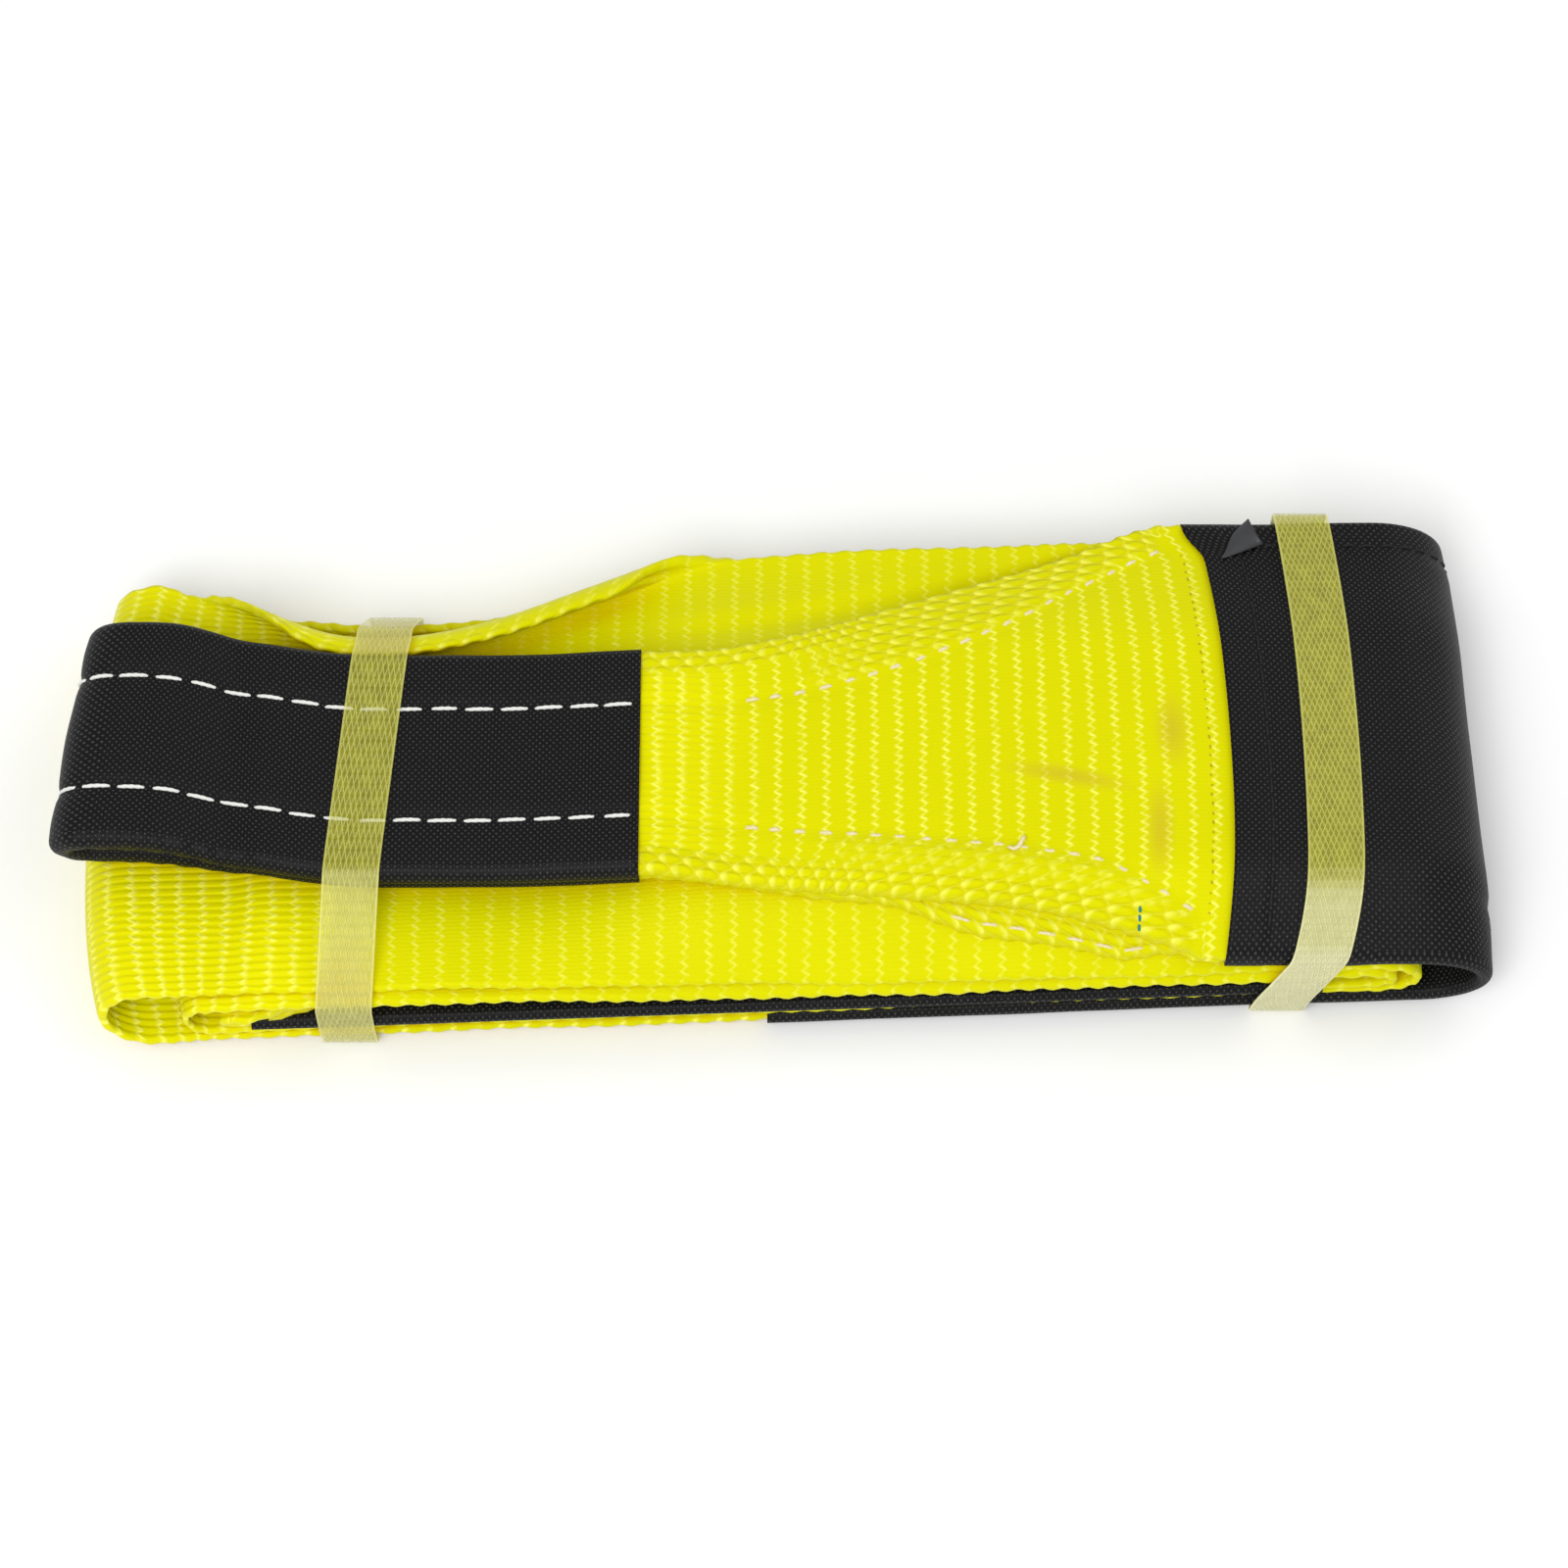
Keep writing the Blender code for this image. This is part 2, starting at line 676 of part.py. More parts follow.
def main():
    for old in list(bpy.data.objects):
        bpy.data.objects.remove(old)
    group = bpy.data.collections.new("folded_recovery_strap")
    bpy.context.scene.collection.children.link(group)
    bpy.context.view_layer.update()

    yellow = material("webbing", (0.83, 0.79, 0.0), 0.45)
    black = material("sleeve_fabric", (0.02, 0.02, 0.022), 0.8)
    white = material("seam_thread", (0.85, 0.85, 0.80), 0.6)
    dark = material("dark_thread", (0.015, 0.015, 0.016), 0.7)
    cream = material("strapping", (0.66, 0.66, 0.33), 0.3)

    add_webbing(yellow)
    add_sleeves(black)
    add_front_eye_seams(white)
    add_rear_eye_seams(white)
    add_tail_seams(white)
    add_bar_stitches(white)
    add_wear_sleeve_seams(dark)
    add_side_seams(dark)
    add_band("left_band", LEFT_BAND_X, left_band_x, cream)
    add_band("right_band", RIGHT_BAND_X, right_band_x, cream)


main()
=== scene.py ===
"""Looks for a folded recovery strap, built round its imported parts.

Every shape is worked out in millimetres from the strap's legs and folds, in the frame of the parts, and is
scaled to metres when its mesh is made. The strap is one strip: over the top, round the right end, back
underneath, and so on inwards to the rear eye.
"""
import math
from collections import namedtuple

import bpy
import numpy as np
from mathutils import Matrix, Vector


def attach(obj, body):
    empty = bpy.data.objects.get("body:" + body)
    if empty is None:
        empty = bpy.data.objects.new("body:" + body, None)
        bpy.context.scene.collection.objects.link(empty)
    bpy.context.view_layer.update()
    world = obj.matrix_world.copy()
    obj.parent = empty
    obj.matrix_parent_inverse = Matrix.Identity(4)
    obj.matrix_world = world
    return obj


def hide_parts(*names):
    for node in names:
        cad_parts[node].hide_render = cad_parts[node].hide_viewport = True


MM = 0.001
TO_MIDDLE = np.array((-0.65, -2.61, 0.0))

# Materials as bought
WEB_WIDTH = 100.0
WEB_THICK = 2.0
CLOTH = 0.5
BAND_WIDTH = 12.0
BAND_THICK = 0.6
RIB_PITCH = 5.2
FLOAT_PITCH = 1.9
SCALE_ROW = 2.1
WEAVE_PITCH = 1.46
WEB_ROWS = 44
SLEEVE_ROWS = 40
HEM_DEPTH = 8.0
SIDE_SEAM = 44.5

# Play between neighbours
GAP = 0.3
SEAM_ROOM = 0.9
BAND_PLAY = 0.5

# Lengths along the bundle
FRONT_TIP = -151.0
FRONT_EYE_END = -29.0
FRONT_FAN_END = 92.0
FRONT_TAIL_END = 116.0
OUTER_SLEEVE_FRONT = 97.0
OUTER_SLEEVE_BACK = -2.0
INNER_SLEEVE_LEFT = -112.0
INNER_SLEEVE_RIGHT = 117.0
REAR_FAN_START = -112.0
REAR_EYE_START = 2.0
REAR_TIP = 121.0

# Where the flat runs end and the folds begin, from outside to inside
FRONT_BEND = FRONT_TIP + 8.0
OUTER_RIGHT = 134.0
LEFT_FOLD = -138.5
MIDDLE_RIGHT = 126.0
MIDDLE_LEFT = -122.0
INNER_RIGHT = 124.0
INNER_LEFT = -115.0
REAR_BEND = REAR_TIP - 3.0
REAR_TAIL_END = -108.0

# The eyes: webbing with its edges folded to the middle
EYE_WIDTH = 51.0
EYE_THICK = 2.0 * WEB_THICK
EYE_MOUTH = 4.5
SEAM_INSET = 12.5

# Heights of the stack, from the surface the bundle rests on
FLOOR = 1.2
SLEEVE_SKIN = CLOTH + GAP
SLEEVE_TOP = WEB_THICK / 2 + SLEEVE_SKIN
BACK_LEVEL = FLOOR + SLEEVE_SKIN + WEB_THICK / 2
BACK_INNER_LEVEL = BACK_LEVEL + WEB_THICK + SLEEVE_SKIN + GAP
CORE_LEVEL = BACK_INNER_LEVEL + WEB_THICK + GAP + SLEEVE_SKIN
EYE_FLOOR = CORE_LEVEL + WEB_THICK / 2 + SLEEVE_SKIN + SEAM_ROOM
EYE_RUN = EYE_THICK + 2 * SLEEVE_SKIN
EYE_PITCH = EYE_RUN + GAP
REAR_EYE_RISE = 2 * EYE_RUN + GAP + SEAM_ROOM
FLAT_RISE = 2 * WEB_THICK + GAP + SEAM_ROOM
LEFT_BAND_RISE = 7.6
FAR_EDGE_RISE = 7.0
WEB_PITCH = WEB_THICK + GAP

# Steps along a run: fine where the strip shows, coarse inside the roll
FINE = RIB_PITCH / 5
COARSE = RIB_PITCH / 2

Leg = namedtuple("Leg", "level rides middle width thick left roll step")
Flat = namedtuple("Flat", "leg x outward")
Bend = namedtuple("Bend", "top bottom x side depth angle")

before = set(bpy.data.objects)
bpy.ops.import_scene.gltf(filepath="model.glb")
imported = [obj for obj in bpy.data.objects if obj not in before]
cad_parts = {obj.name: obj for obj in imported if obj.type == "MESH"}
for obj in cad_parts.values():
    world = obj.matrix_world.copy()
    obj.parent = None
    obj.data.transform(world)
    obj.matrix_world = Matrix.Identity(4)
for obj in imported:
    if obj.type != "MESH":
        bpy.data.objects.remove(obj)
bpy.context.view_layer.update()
soft_points = []


def ease(low, high, x):
    """A smooth step from 0 at low to 1 at high."""
    t = np.clip((x - low) / (high - low), 0.0, 1.0)
    return t * t * (3.0 - 2.0 * t)


def mix(a, b, share):
    return a + (b - a) * share


def sloping(left, right):
    return lambda x: mix(left, right, (x + 140.0) / 280.0)


def bell(x, middle, width):
    return np.exp(-((x - middle) / width) ** 2)


def ripple(x, y, seed):
    """A gentle unevenness, about -1 to 1, that repeats for the same seed."""
    a = np.sin(0.061 * x + 0.043 * y + 1.7 * seed)
    b = np.sin(0.113 * x - 0.087 * y + 2.9 * seed)
    c = np.sin(0.197 * x + 0.171 * y + 4.1 * seed)
    return (a + 0.7 * b + 0.5 * c) / 2.2


# Across the bundle: where the front layers lie over the rear eye, and where they sag beside it
HUMP_EDGE = 24.0
HUMP_FOOT = 53.0

rear_middle = sloping(-5.0, 3.0)


def rise(x, y):
    """How far the front layers are lifted at one place by the rear eye and its fan."""
    before_band = mix(FLAT_RISE, LEFT_BAND_RISE, ease(-118.0, -108.0, x))
    crown = mix(before_band, REAR_EYE_RISE, ease(-64.0, -4.0, x))
    far = FAR_EDGE_RISE * ease(-40.0, 30.0, x) * ease(-10.0, 25.0, y)
    edge = FLAT_RISE * (1.0 - ease(-62.0, 20.0, x)) + far
    return mix(edge, crown, 1.0 - ease(HUMP_EDGE, HUMP_FOOT, np.abs(y - rear_middle(x))))


# The legs of the strip

def fan_width(share):
    """Width of a fan, which opens from the folded eye (0) to the flat webbing (1)."""
    return mix(EYE_WIDTH, WEB_WIDTH, share ** 1.4)


def fan_thick(share):
    """Thickness that keeps the same amount of webbing in each section of a fan."""
    return min(EYE_THICK, WEB_WIDTH * WEB_THICK / fan_width(share))


def front_share(x):
    return np.clip((x - FRONT_EYE_END) / (FRONT_FAN_END - FRONT_EYE_END), 0.0, 1.0)


def rear_share(x):
    return np.clip((REAR_EYE_START - x) / (REAR_EYE_START - REAR_FAN_START), 0.0, 1.0)


def front_middle(x):
    return 7.5 - 10.5 * (1.0 - ease(-20.0, 80.0, x)) + 7.0 * (1.0 - ease(-140.0, -85.0, x))


def front_tail_middle(x):
    peek = ease(20.0, 45.0, x) * (1.0 - ease(72.0, 88.0, x))
    return front_middle(x) - 4.5 * peek + 1.5 * (1.0 - ease(-20.0, 10.0, x))


def front_stack(x):
    """Heights of the front eye's lower and upper legs above the layers that they lie on."""
    thick = fan_thick(front_share(x))
    in_eye = 1.0 - ease(FRONT_EYE_END, -8.0, x)
    in_sleeve = ease(70.0, 90.0, x)
    base = 2 * WEB_PITCH + thick / 2
    lower = base + in_eye * (SEAM_ROOM - GAP + SLEEVE_SKIN) + in_sleeve * SLEEVE_SKIN
    upper = lower + mix(thick + GAP, EYE_PITCH, in_eye)
    return lower, upper + EYE_MOUTH * (1.0 - ease(-132.0, -108.0, x))


def rear_stack(x):
    """Heights of the rear eye's lower and upper legs above the core."""
    thick = fan_thick(rear_share(x))
    in_eye = ease(-18.0, REAR_EYE_START, x)
    lower = EYE_FLOOR + thick / 2 + in_eye * SLEEVE_SKIN
    return lower, lower + mix(thick + GAP, EYE_PITCH, in_eye)


def whole_width(x):
    return WEB_WIDTH


def whole_thick(x):
    return WEB_THICK


def front_leg(level, middle):
    return Leg(level, True, middle, lambda x: fan_width(front_share(x)),
               lambda x: fan_thick(front_share(x)), 0.0, None, FINE)


def rear_leg(level):
    return Leg(level, False, rear_middle, lambda x: fan_width(rear_share(x)),
               lambda x: fan_thick(rear_share(x)), INNER_LEFT, (0.0, 0.0, 30.0), COARSE)


# A roll is (radius, sweep, where it starts) of the far edge where the left band pulls it in
BACK_OUTER = Leg(lambda x: BACK_LEVEL, False, sloping(-4.0, 7.0), whole_width, whole_thick,
                 LEFT_FOLD, (6.0, 1.3, 37.0), FINE)
BACK_INNER = Leg(lambda x: BACK_INNER_LEVEL, False, sloping(-3.6, 7.5), whole_width, whole_thick,
                 MIDDLE_LEFT, (4.6, 1.2, 35.0), COARSE)
CORE = Leg(lambda x: CORE_LEVEL, False, sloping(-3.5, 7.0), whole_width, whole_thick,
           INNER_LEFT, (0.0, 0.0, 31.5), COARSE)
THIRD = Leg(lambda x: EYE_FLOOR + WEB_THICK / 2, True, sloping(-3.6, 7.0), whole_width, whole_thick,
            MIDDLE_LEFT, (4.5, 2.6, 24.5), FINE)
SECOND = Leg(lambda x: EYE_FLOOR + WEB_PITCH + WEB_THICK / 2, True, sloping(-0.5, 7.5), whole_width,
             whole_thick, LEFT_FOLD, (4.2, 3.4, 25.5), FINE)
FRONT_UPPER = front_leg(lambda x: EYE_FLOOR + front_stack(x)[1], front_middle)
FRONT_LOWER = front_leg(lambda x: EYE_FLOOR + front_stack(x)[0], front_tail_middle)
REAR_UPPER = rear_leg(lambda x: rear_stack(x)[1])
REAR_LOWER = rear_leg(lambda x: rear_stack(x)[0])


# Routes along the strip

def run(leg, start, stop, step=0.0):
    """Flat stations along a leg from start to stop; the strip's outer face is up on the way right."""
    outward = 1.0 if stop > start else -1.0
    count = max(2, round(abs(stop - start) / (step or leg.step)) + 1)
    return [Flat(leg, x, outward) for x in np.linspace(start, stop, count)]


def bend(top, bottom, x, side, depth, steps, downward=True):
    """Stations round a fold, without its two ends, which belong to the flat runs."""
    angles = [math.pi * i / steps for i in range(1, steps)]
    if not downward:
        angles.reverse()
    return [Bend(top, bottom, x, side, depth, angle) for angle in angles]


def front_tip():
    return bend(FRONT_UPPER, FRONT_LOWER, FRONT_BEND, -1.0, 7.0, 24, downward=False)


def rear_tip():
    return bend(REAR_UPPER, REAR_LOWER, REAR_BEND, 1.0, 2.9, 10)


def right_outer_bend():
    return bend(FRONT_UPPER, BACK_OUTER, OUTER_RIGHT, 1.0, 15.0, 36)


def webbing_route():
    route = run(FRONT_LOWER, FRONT_TAIL_END, FRONT_BEND)
    route += front_tip()
    route += run(FRONT_UPPER, FRONT_BEND, OUTER_RIGHT)
    route += right_outer_bend()
    route += run(BACK_OUTER, OUTER_RIGHT, LEFT_FOLD)
    route += bend(SECOND, BACK_OUTER, LEFT_FOLD, -1.0, 10.0, 32, downward=False)
    route += run(SECOND, LEFT_FOLD, MIDDLE_RIGHT)
    route += bend(SECOND, BACK_INNER, MIDDLE_RIGHT, 1.0, 9.0, 26)
    route += run(BACK_INNER, MIDDLE_RIGHT, MIDDLE_LEFT)
    route += bend(THIRD, BACK_INNER, MIDDLE_LEFT, -1.0, 7.0, 20, downward=False)
    route += run(THIRD, MIDDLE_LEFT, INNER_RIGHT)
    route += bend(THIRD, CORE, INNER_RIGHT, 1.0, 6.0, 18)
    route += run(CORE, INNER_RIGHT, INNER_LEFT)
    route += bend(REAR_UPPER, CORE, INNER_LEFT, -1.0, 3.0, 10, downward=False)
    route += run(REAR_UPPER, INNER_LEFT, REAR_BEND)
    route += rear_tip()
    route += run(REAR_LOWER, REAR_BEND, REAR_TAIL_END)
    return route


def front_eye_route():
    route = run(FRONT_LOWER, FRONT_EYE_END, FRONT_BEND)
    route += front_tip()
    return route + run(FRONT_UPPER, FRONT_BEND, FRONT_EYE_END)


def rear_eye_route():
    route = run(REAR_UPPER, REAR_EYE_START, REAR_BEND)
    route += rear_tip()
    return route + run(REAR_LOWER, REAR_BEND, REAR_EYE_START)


def outer_sleeve_route():
    route = run(FRONT_UPPER, OUTER_SLEEVE_FRONT, OUTER_RIGHT)
    route += right_outer_bend()
    return route + run(BACK_OUTER, OUTER_RIGHT, OUTER_SLEEVE_BACK)


def inner_sleeve_route():
    return run(CORE, INNER_SLEEVE_RIGHT, INNER_SLEEVE_LEFT, FINE)


# Places on the strip

def leg_value(station, name):
    """The middle, width or thickness at a station, passing from leg to leg round a fold."""
    if isinstance(station, Flat):
        return getattr(station.leg, name)(station.x)
    share = (1.0 - math.cos(station.angle)) / 2
    top = getattr(station.top, name)(station.x)
    return mix(top, getattr(station.bottom, name)(station.x), share)


def pull(x):
    """How far the left band has pulled the far edges in, from 0 to 1."""
    return ease(-152.0, -90.0, x) * (1.0 - ease(-84.0, 4.0, x))


def settle(x, y, in_front):
    """Lengthwise shifts: the ends of the roll are skewed, and the ribs of the fan bow."""
    bow = -np.where(y > -9.0, 0.0011, 0.0018) * (y + 9.0) ** 2 - 3.5 * ease(48.0, 56.0, y)
    skew = 0.6 - 0.045 * (y + 9.0) - np.where(y > 0.0, 1.0, 2.5) * ease(47.0, 59.0, np.abs(y))
    share = ease(96.0, 138.0, x)
    right = mix(bow * ease(40.0, 94.0, x), skew, share)
    corner = 4.5 * np.minimum(1.25, np.abs(y) / 50.0) ** 3 * (1.0 - ease(-138.0, -116.0, x))
    eye = 0.10 * (y + 4.0) * (1.0 - ease(-150.0, -112.0, x)) * in_front
    return x + right + corner + eye


def rolled(station, w):
    """World y, lift and tilt of points w across the strip, with the far edge rolled by the band."""
    middle = leg_value(station, "middle")
    half = leg_value(station, "width") / 2
    still = np.zeros_like(w)
    flat = isinstance(station, Flat)
    leg = station.leg if flat else station.top
    if leg.roll is None:
        return middle + w, still, still
    radius, sweep, start_at = leg.roll
    pulled = pull(station.x)
    start = min(middle + half, mix(middle + half, start_at, pulled))
    swept = sweep * min(1.0, 2.5 * pulled) * ease(leg.left, leg.left + 40.0, station.x) if flat else 0.0
    straight = start - middle
    reach = straight + radius * swept
    t = np.where(w > 0.0, w * reach / half, w)
    turned = np.clip((t - straight) / max(radius, 1e-6), 0.0, None) if radius * swept > 0.01 else still
    y = middle + np.minimum(t, straight) + radius * np.sin(turned)
    return y, radius * (1.0 - np.cos(turned)), turned


def ring(station, w, out):
    """Points w across the strip and out from its middle towards its outer face."""
    w = np.asarray(w, float)
    out = np.asarray(out, float)
    y, lift, tilt = rolled(station, w)
    if isinstance(station, Flat):
        leg = station.leg
        base = leg.level(station.x) + (rise(station.x, y) if leg.rides else 0.0)
        ragged = ease(30.0, 52.0, np.abs(w)) * (1.0 - ease(110.0, 128.0, abs(station.x)))
        wave = 0.55 * ripple(station.x, y, leg.roll[2] if leg.roll else 3.0) * ragged
        z = base + lift + wave * (leg is SECOND or leg is THIRD)
        x = np.full_like(w, station.x)
        y = y - np.sin(tilt) * station.outward * out
        z = z + np.cos(tilt) * station.outward * out
        front = 1.0 if leg in (FRONT_UPPER, FRONT_LOWER) else 0.0
    else:
        high = station.top.level(station.x) + (rise(station.x, y) if station.top.rides else 0.0)
        low = station.bottom.level(station.x) + (rise(station.x, y) if station.bottom.rides else 0.0)
        half = (high - low) / 2
        across = math.sin(station.angle)
        up = math.cos(station.angle)
        normal_x = station.side * half * across
        normal_z = station.depth * up
        size = np.hypot(normal_x, normal_z)
        x = station.x + station.side * station.depth * across + normal_x / size * out
        z = (high + low) / 2 + half * up + normal_z / size * out
        front = 1.0 if station.bottom is FRONT_LOWER else 0.0
    return np.stack([settle(x, y, front), y, z], -1)


def distances(points):
    """Distance of each point along the line through them."""
    steps = np.linalg.norm(np.diff(points, axis=0), axis=1)
    return np.concatenate([[0.0], np.cumsum(steps)])


def lengths(route):
    """Distance of each station along the strip's middle."""
    return distances(np.array([ring(station, [0.0], [0.0])[0] for station in route]))


def resample(marks, s, points):
    """Points at the marked distances along a line whose own points lie at distances s."""
    return np.stack([np.interp(marks, s, column) for column in points.T], -1)


def unit(vectors):
    return vectors / np.linalg.norm(vectors, axis=1)[:, None]




# Meshes

def add_mesh(name, points, polygons, look):
    """A smooth piece through points in mm."""
    mesh = bpy.data.meshes.new(name)
    mesh.from_pydata(((points + TO_MIDDLE) * MM).tolist(), [], polygons)
    mesh.polygons.foreach_set("use_smooth", np.ones(len(mesh.polygons), bool))
    mesh.materials.append(look)
    piece = bpy.data.objects.new(name, mesh)
    bpy.context.scene.collection.objects.link(piece)
    return piece


def solid(name, rings, maps, look, closed=False):
    """A closed body through rings (n, m, 3); each map has two values for every ring and place, in mm."""
    n, m = rings.shape[:2]
    i, j = np.meshgrid(np.arange(n if closed else n - 1), np.arange(m), indexing="ij")
    i_next = (i + 1) % n
    j_next = (j + 1) % m
    quads = np.stack([i * m + j, i_next * m + j, i_next * m + j_next, i * m + j_next], -1).reshape(-1, 4)
    points = rings.reshape(-1, 3)
    corners = points[quads]
    faces = np.cross(corners[:, 2] - corners[:, 0], corners[:, 3] - corners[:, 1])
    volume = np.einsum("ij,ij->i", corners.mean(axis=1) - points.mean(axis=0), faces).sum()
    way = -1 if volume < 0.0 else 1
    polygons = quads[:, ::way].tolist()
    if not closed:
        first = list(range(m))
        last = list(range((n - 1) * m, n * m))
        polygons += [first[::-way], last[::way]]
    piece = add_mesh(name, points, polygons, look)
    for title, pair in maps.items():
        coordinates = np.zeros((len(piece.data.loops), 2), np.float32)
        for axis, values in enumerate(pair):
            loops = np.stack([values[i, j], values[i + 1, j], values[i + 1, j + 1], values[i, j + 1]], -1)
            coordinates[:quads.size, axis] = loops.reshape(-1, 4)[:, ::way].ravel()
        piece.data.uv_layers.new(name=title).data.foreach_set("uv", coordinates.ravel())
    return piece


def section(half, depth, radius, count, bunch, turns, inset=0.0):
    """Outline of a strip with rounded edges: places across it and out from its middle."""
    flat = np.sin(np.linspace(-1.0, 1.0, count) * bunch) / math.sin(bunch) * (half - radius - inset)
    turn = np.linspace(math.pi / 2, -math.pi / 2, turns)[1:-1]
    edge = half - radius + np.cos(turn) * radius
    side = np.sin(turn) * depth
    w = np.concatenate([flat, edge, flat[::-1], -edge])
    out = np.concatenate([np.full(count, depth), side, np.full(count, -depth), -side])
    return w, out


# The webbing

def seam_from_edge(share, w):
    """How far a fan's seam is from its edge, on the side of w."""
    far = SEAM_INSET + 2.5 * bell(share, 0.40, 0.25) - 7.0 * ease(0.58, 1.0, share)
    near = SEAM_INSET - 5.3 * ease(0.78, 1.02, share)
    return np.where(np.asarray(w) > 0.0, far, near)


def share_of(station):
    """How far a station is along its fan, from 0 in the eye to 1, or None where there is no fan."""
    if isinstance(station, Bend):
        return 0.0 if station.bottom in (FRONT_LOWER, REAR_LOWER) else None
    if station.leg in (FRONT_UPPER, FRONT_LOWER):
        return front_share(station.x)
    if station.leg in (REAR_UPPER, REAR_LOWER):
        return rear_share(station.x)
    return None


def flap_relief(station, w, half):
    """Extra height of a fan's folded flaps, with the groove of their seam, and how far their ribs slant."""
    share = share_of(station)
    if share is None or (isinstance(station, Flat) and station.x > FRONT_FAN_END):
        return np.zeros_like(w), np.zeros_like(w)
    seam = half - seam_from_edge(share, w)
    beyond = np.clip(np.abs(w) - seam, 0.0, None)
    opening = ease(0.22, 0.42, share)
    flap = 0.85 * ease(-1.2, 1.6, np.abs(w) - seam) * opening * (1.0 - ease(0.93, 1.0, share))
    groove = -0.5 * bell(np.abs(w), seam, 1.3)
    return flap + groove, 0.9 * beyond * opening


def crease(station, w):
    """A soft crease in the second layer, where it runs up beside the fan."""
    if not isinstance(station, Flat) or station.leg is not SECOND:
        return np.zeros_like(w)
    at = 30.0 + 13.0 * (station.x + 20.0) / 75.0
    fades = ease(-34.0, -12.0, station.x) * (1.0 - ease(62.0, 84.0, station.x))
    return (ease(at - 3.0, at + 3.0, w) - 1.2 * bell(w, at - 1.5, 2.4)) * fades


def scaled(station, w, half):
    """Where the weave opens into scales: at a fan's edges, on its flaps, and where a selvedge is pulled."""
    inward = half - np.abs(w)
    share = share_of(station)
    if share is None or not isinstance(station, Flat):
        return (1.0 - ease(1.2, 2.6, inward)) * pull(station.x) * (w > 0.0)
    at_edge = 1.0 - ease(4.0, 7.0, inward)
    on_flap = ease(-0.5, 1.5, seam_from_edge(share, w) - inward) * ease(0.22, 0.42, share)
    on_flap = on_flap * np.where(w > 0.0, 0.8, 0.45)
    return np.maximum(at_edge, on_flap) * (1.0 - ease(0.95, 1.0, share))


def drawn(station):
    """Where the yarns stand out: round the folds at the left end, and where the fan leaves its sleeve."""
    if isinstance(station, Flat) and station.leg is FRONT_UPPER:
        return 0.55 * (1.0 - ease(-22.0, 6.0, station.x))
    return 1.0 - ease(-112.0, -78.0, station.x)


def covered(station):
    """Whether a sleeve covers the strip here."""
    if not isinstance(station, Flat):
        return station.top in (FRONT_UPPER, REAR_UPPER)
    if station.leg is FRONT_UPPER:
        return not FRONT_EYE_END < station.x < OUTER_SLEEVE_FRONT
    if station.leg is BACK_OUTER:
        return station.x > OUTER_SLEEVE_BACK
    return station.leg is CORE


def edge_lumps(station, distance, w, half):
    """The ends of the ribs along a bare selvedge, as steps outward."""
    if covered(station):
        return np.zeros_like(w)
    rib = 0.22 * math.cos(2.0 * math.pi * distance / RIB_PITCH)
    uneven = 0.35 * ripple(0.9 * distance, 0.0, 2.0)
    return (rib + uneven) * ease(half - 3.0, half, np.abs(w)) * np.sign(w)


def add_webbing(route, s, look):
    rings, along, across, inward, worked = [], [], [], [], []
    for station, distance in zip(route, s):
        half = leg_value(station, "width") / 2
        depth = leg_value(station, "thick") / 2
        w, out = section(half, depth, 0.75 * depth, WEB_ROWS, 0.43 * math.pi, 7, 0.2)
        relief, slant = flap_relief(station, w, half)
        relief = (relief + crease(station, w)) * ease(0.1, 0.9, out / depth)
        valley = 0.03 * bell((distance / RIB_PITCH) % 1.0, 0.5, 0.2)
        lumps = edge_lumps(station, distance, w, half)
        rings.append(ring(station, w + lumps, out * (1.0 - valley) + relief))
        w = np.append(w, w[0])
        along.append(distance + np.append(slant, slant[0]))
        across.append(w)
        inward.append(half - np.abs(w))
        in_scales = scaled(station, w, half)
        worked.append(np.where(in_scales > 0.25, in_scales, -drawn(station)))
    rings = np.array(rings)
    soft_points.append(rings[::2].reshape(-1, 3))
    maps = {"cloth": (np.array(along), np.array(across)), "form": (np.array(inward), np.array(worked))}
    piece = solid("strap_cloth", rings, maps, look)
    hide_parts("strap_webbing")
    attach(piece, "strap")


# The sleeves

def sleeve_section(half, over, under):
    """Outline of a flattened sleeve: half its width, and how far it reaches over and under the middle."""
    depth = (over + under) / 2
    w, out = section(half, depth, min(depth, 4.0), SLEEVE_ROWS, 1.2, 11)
    return w, out + (over - under) / 2


def add_sleeve(name, node, route, reach, relief, look):
    """A sleeve of cloth: an outer skin and an inner one, joined at both ends."""
    s = lengths(route)
    outer, inner, around = [], [], []
    for station, distance in zip(route, s):
        half = leg_value(station, "width") / 2 + SLEEVE_SKIN
        over, under = reach(station)
        for skin, inset in ((outer, 0.0), (inner, CLOTH * 0.8)):
            w, out = sleeve_section(half - inset, over - inset, under - inset)
            skin.append(ring(station, w, out + relief(station, distance, w) * np.sign(out)))
        around.append(distances(np.stack([np.append(w, w[0]), np.append(out, out[0])], -1)))
    outer = np.array(outer)
    soft_points.append(outer[::2].reshape(-1, 3))
    rings = np.concatenate([outer, np.array(inner)[::-1]])
    v = np.array(around + around[::-1] + around[:1])
    u = np.broadcast_to(np.concatenate([s, s[::-1], s[:1]])[:, None], v.shape)
    piece = solid(name, rings, {"cloth": (u, v)}, look, closed=True)
    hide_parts(node)
    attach(piece, "strap")


def eye_reach(station):
    half = leg_value(station, "thick") / 2 + SLEEVE_SKIN
    return half, half


def wear_reach(station):
    """On top, the outer wear sleeve reaches down round the front tail as well."""
    tail = 0.0
    if isinstance(station, Flat) and station.leg is FRONT_UPPER:
        tail = WEB_PITCH * (1.0 - ease(FRONT_TAIL_END + 2.0, 128.0, station.x))
    return SLEEVE_TOP, SLEEVE_TOP + tail


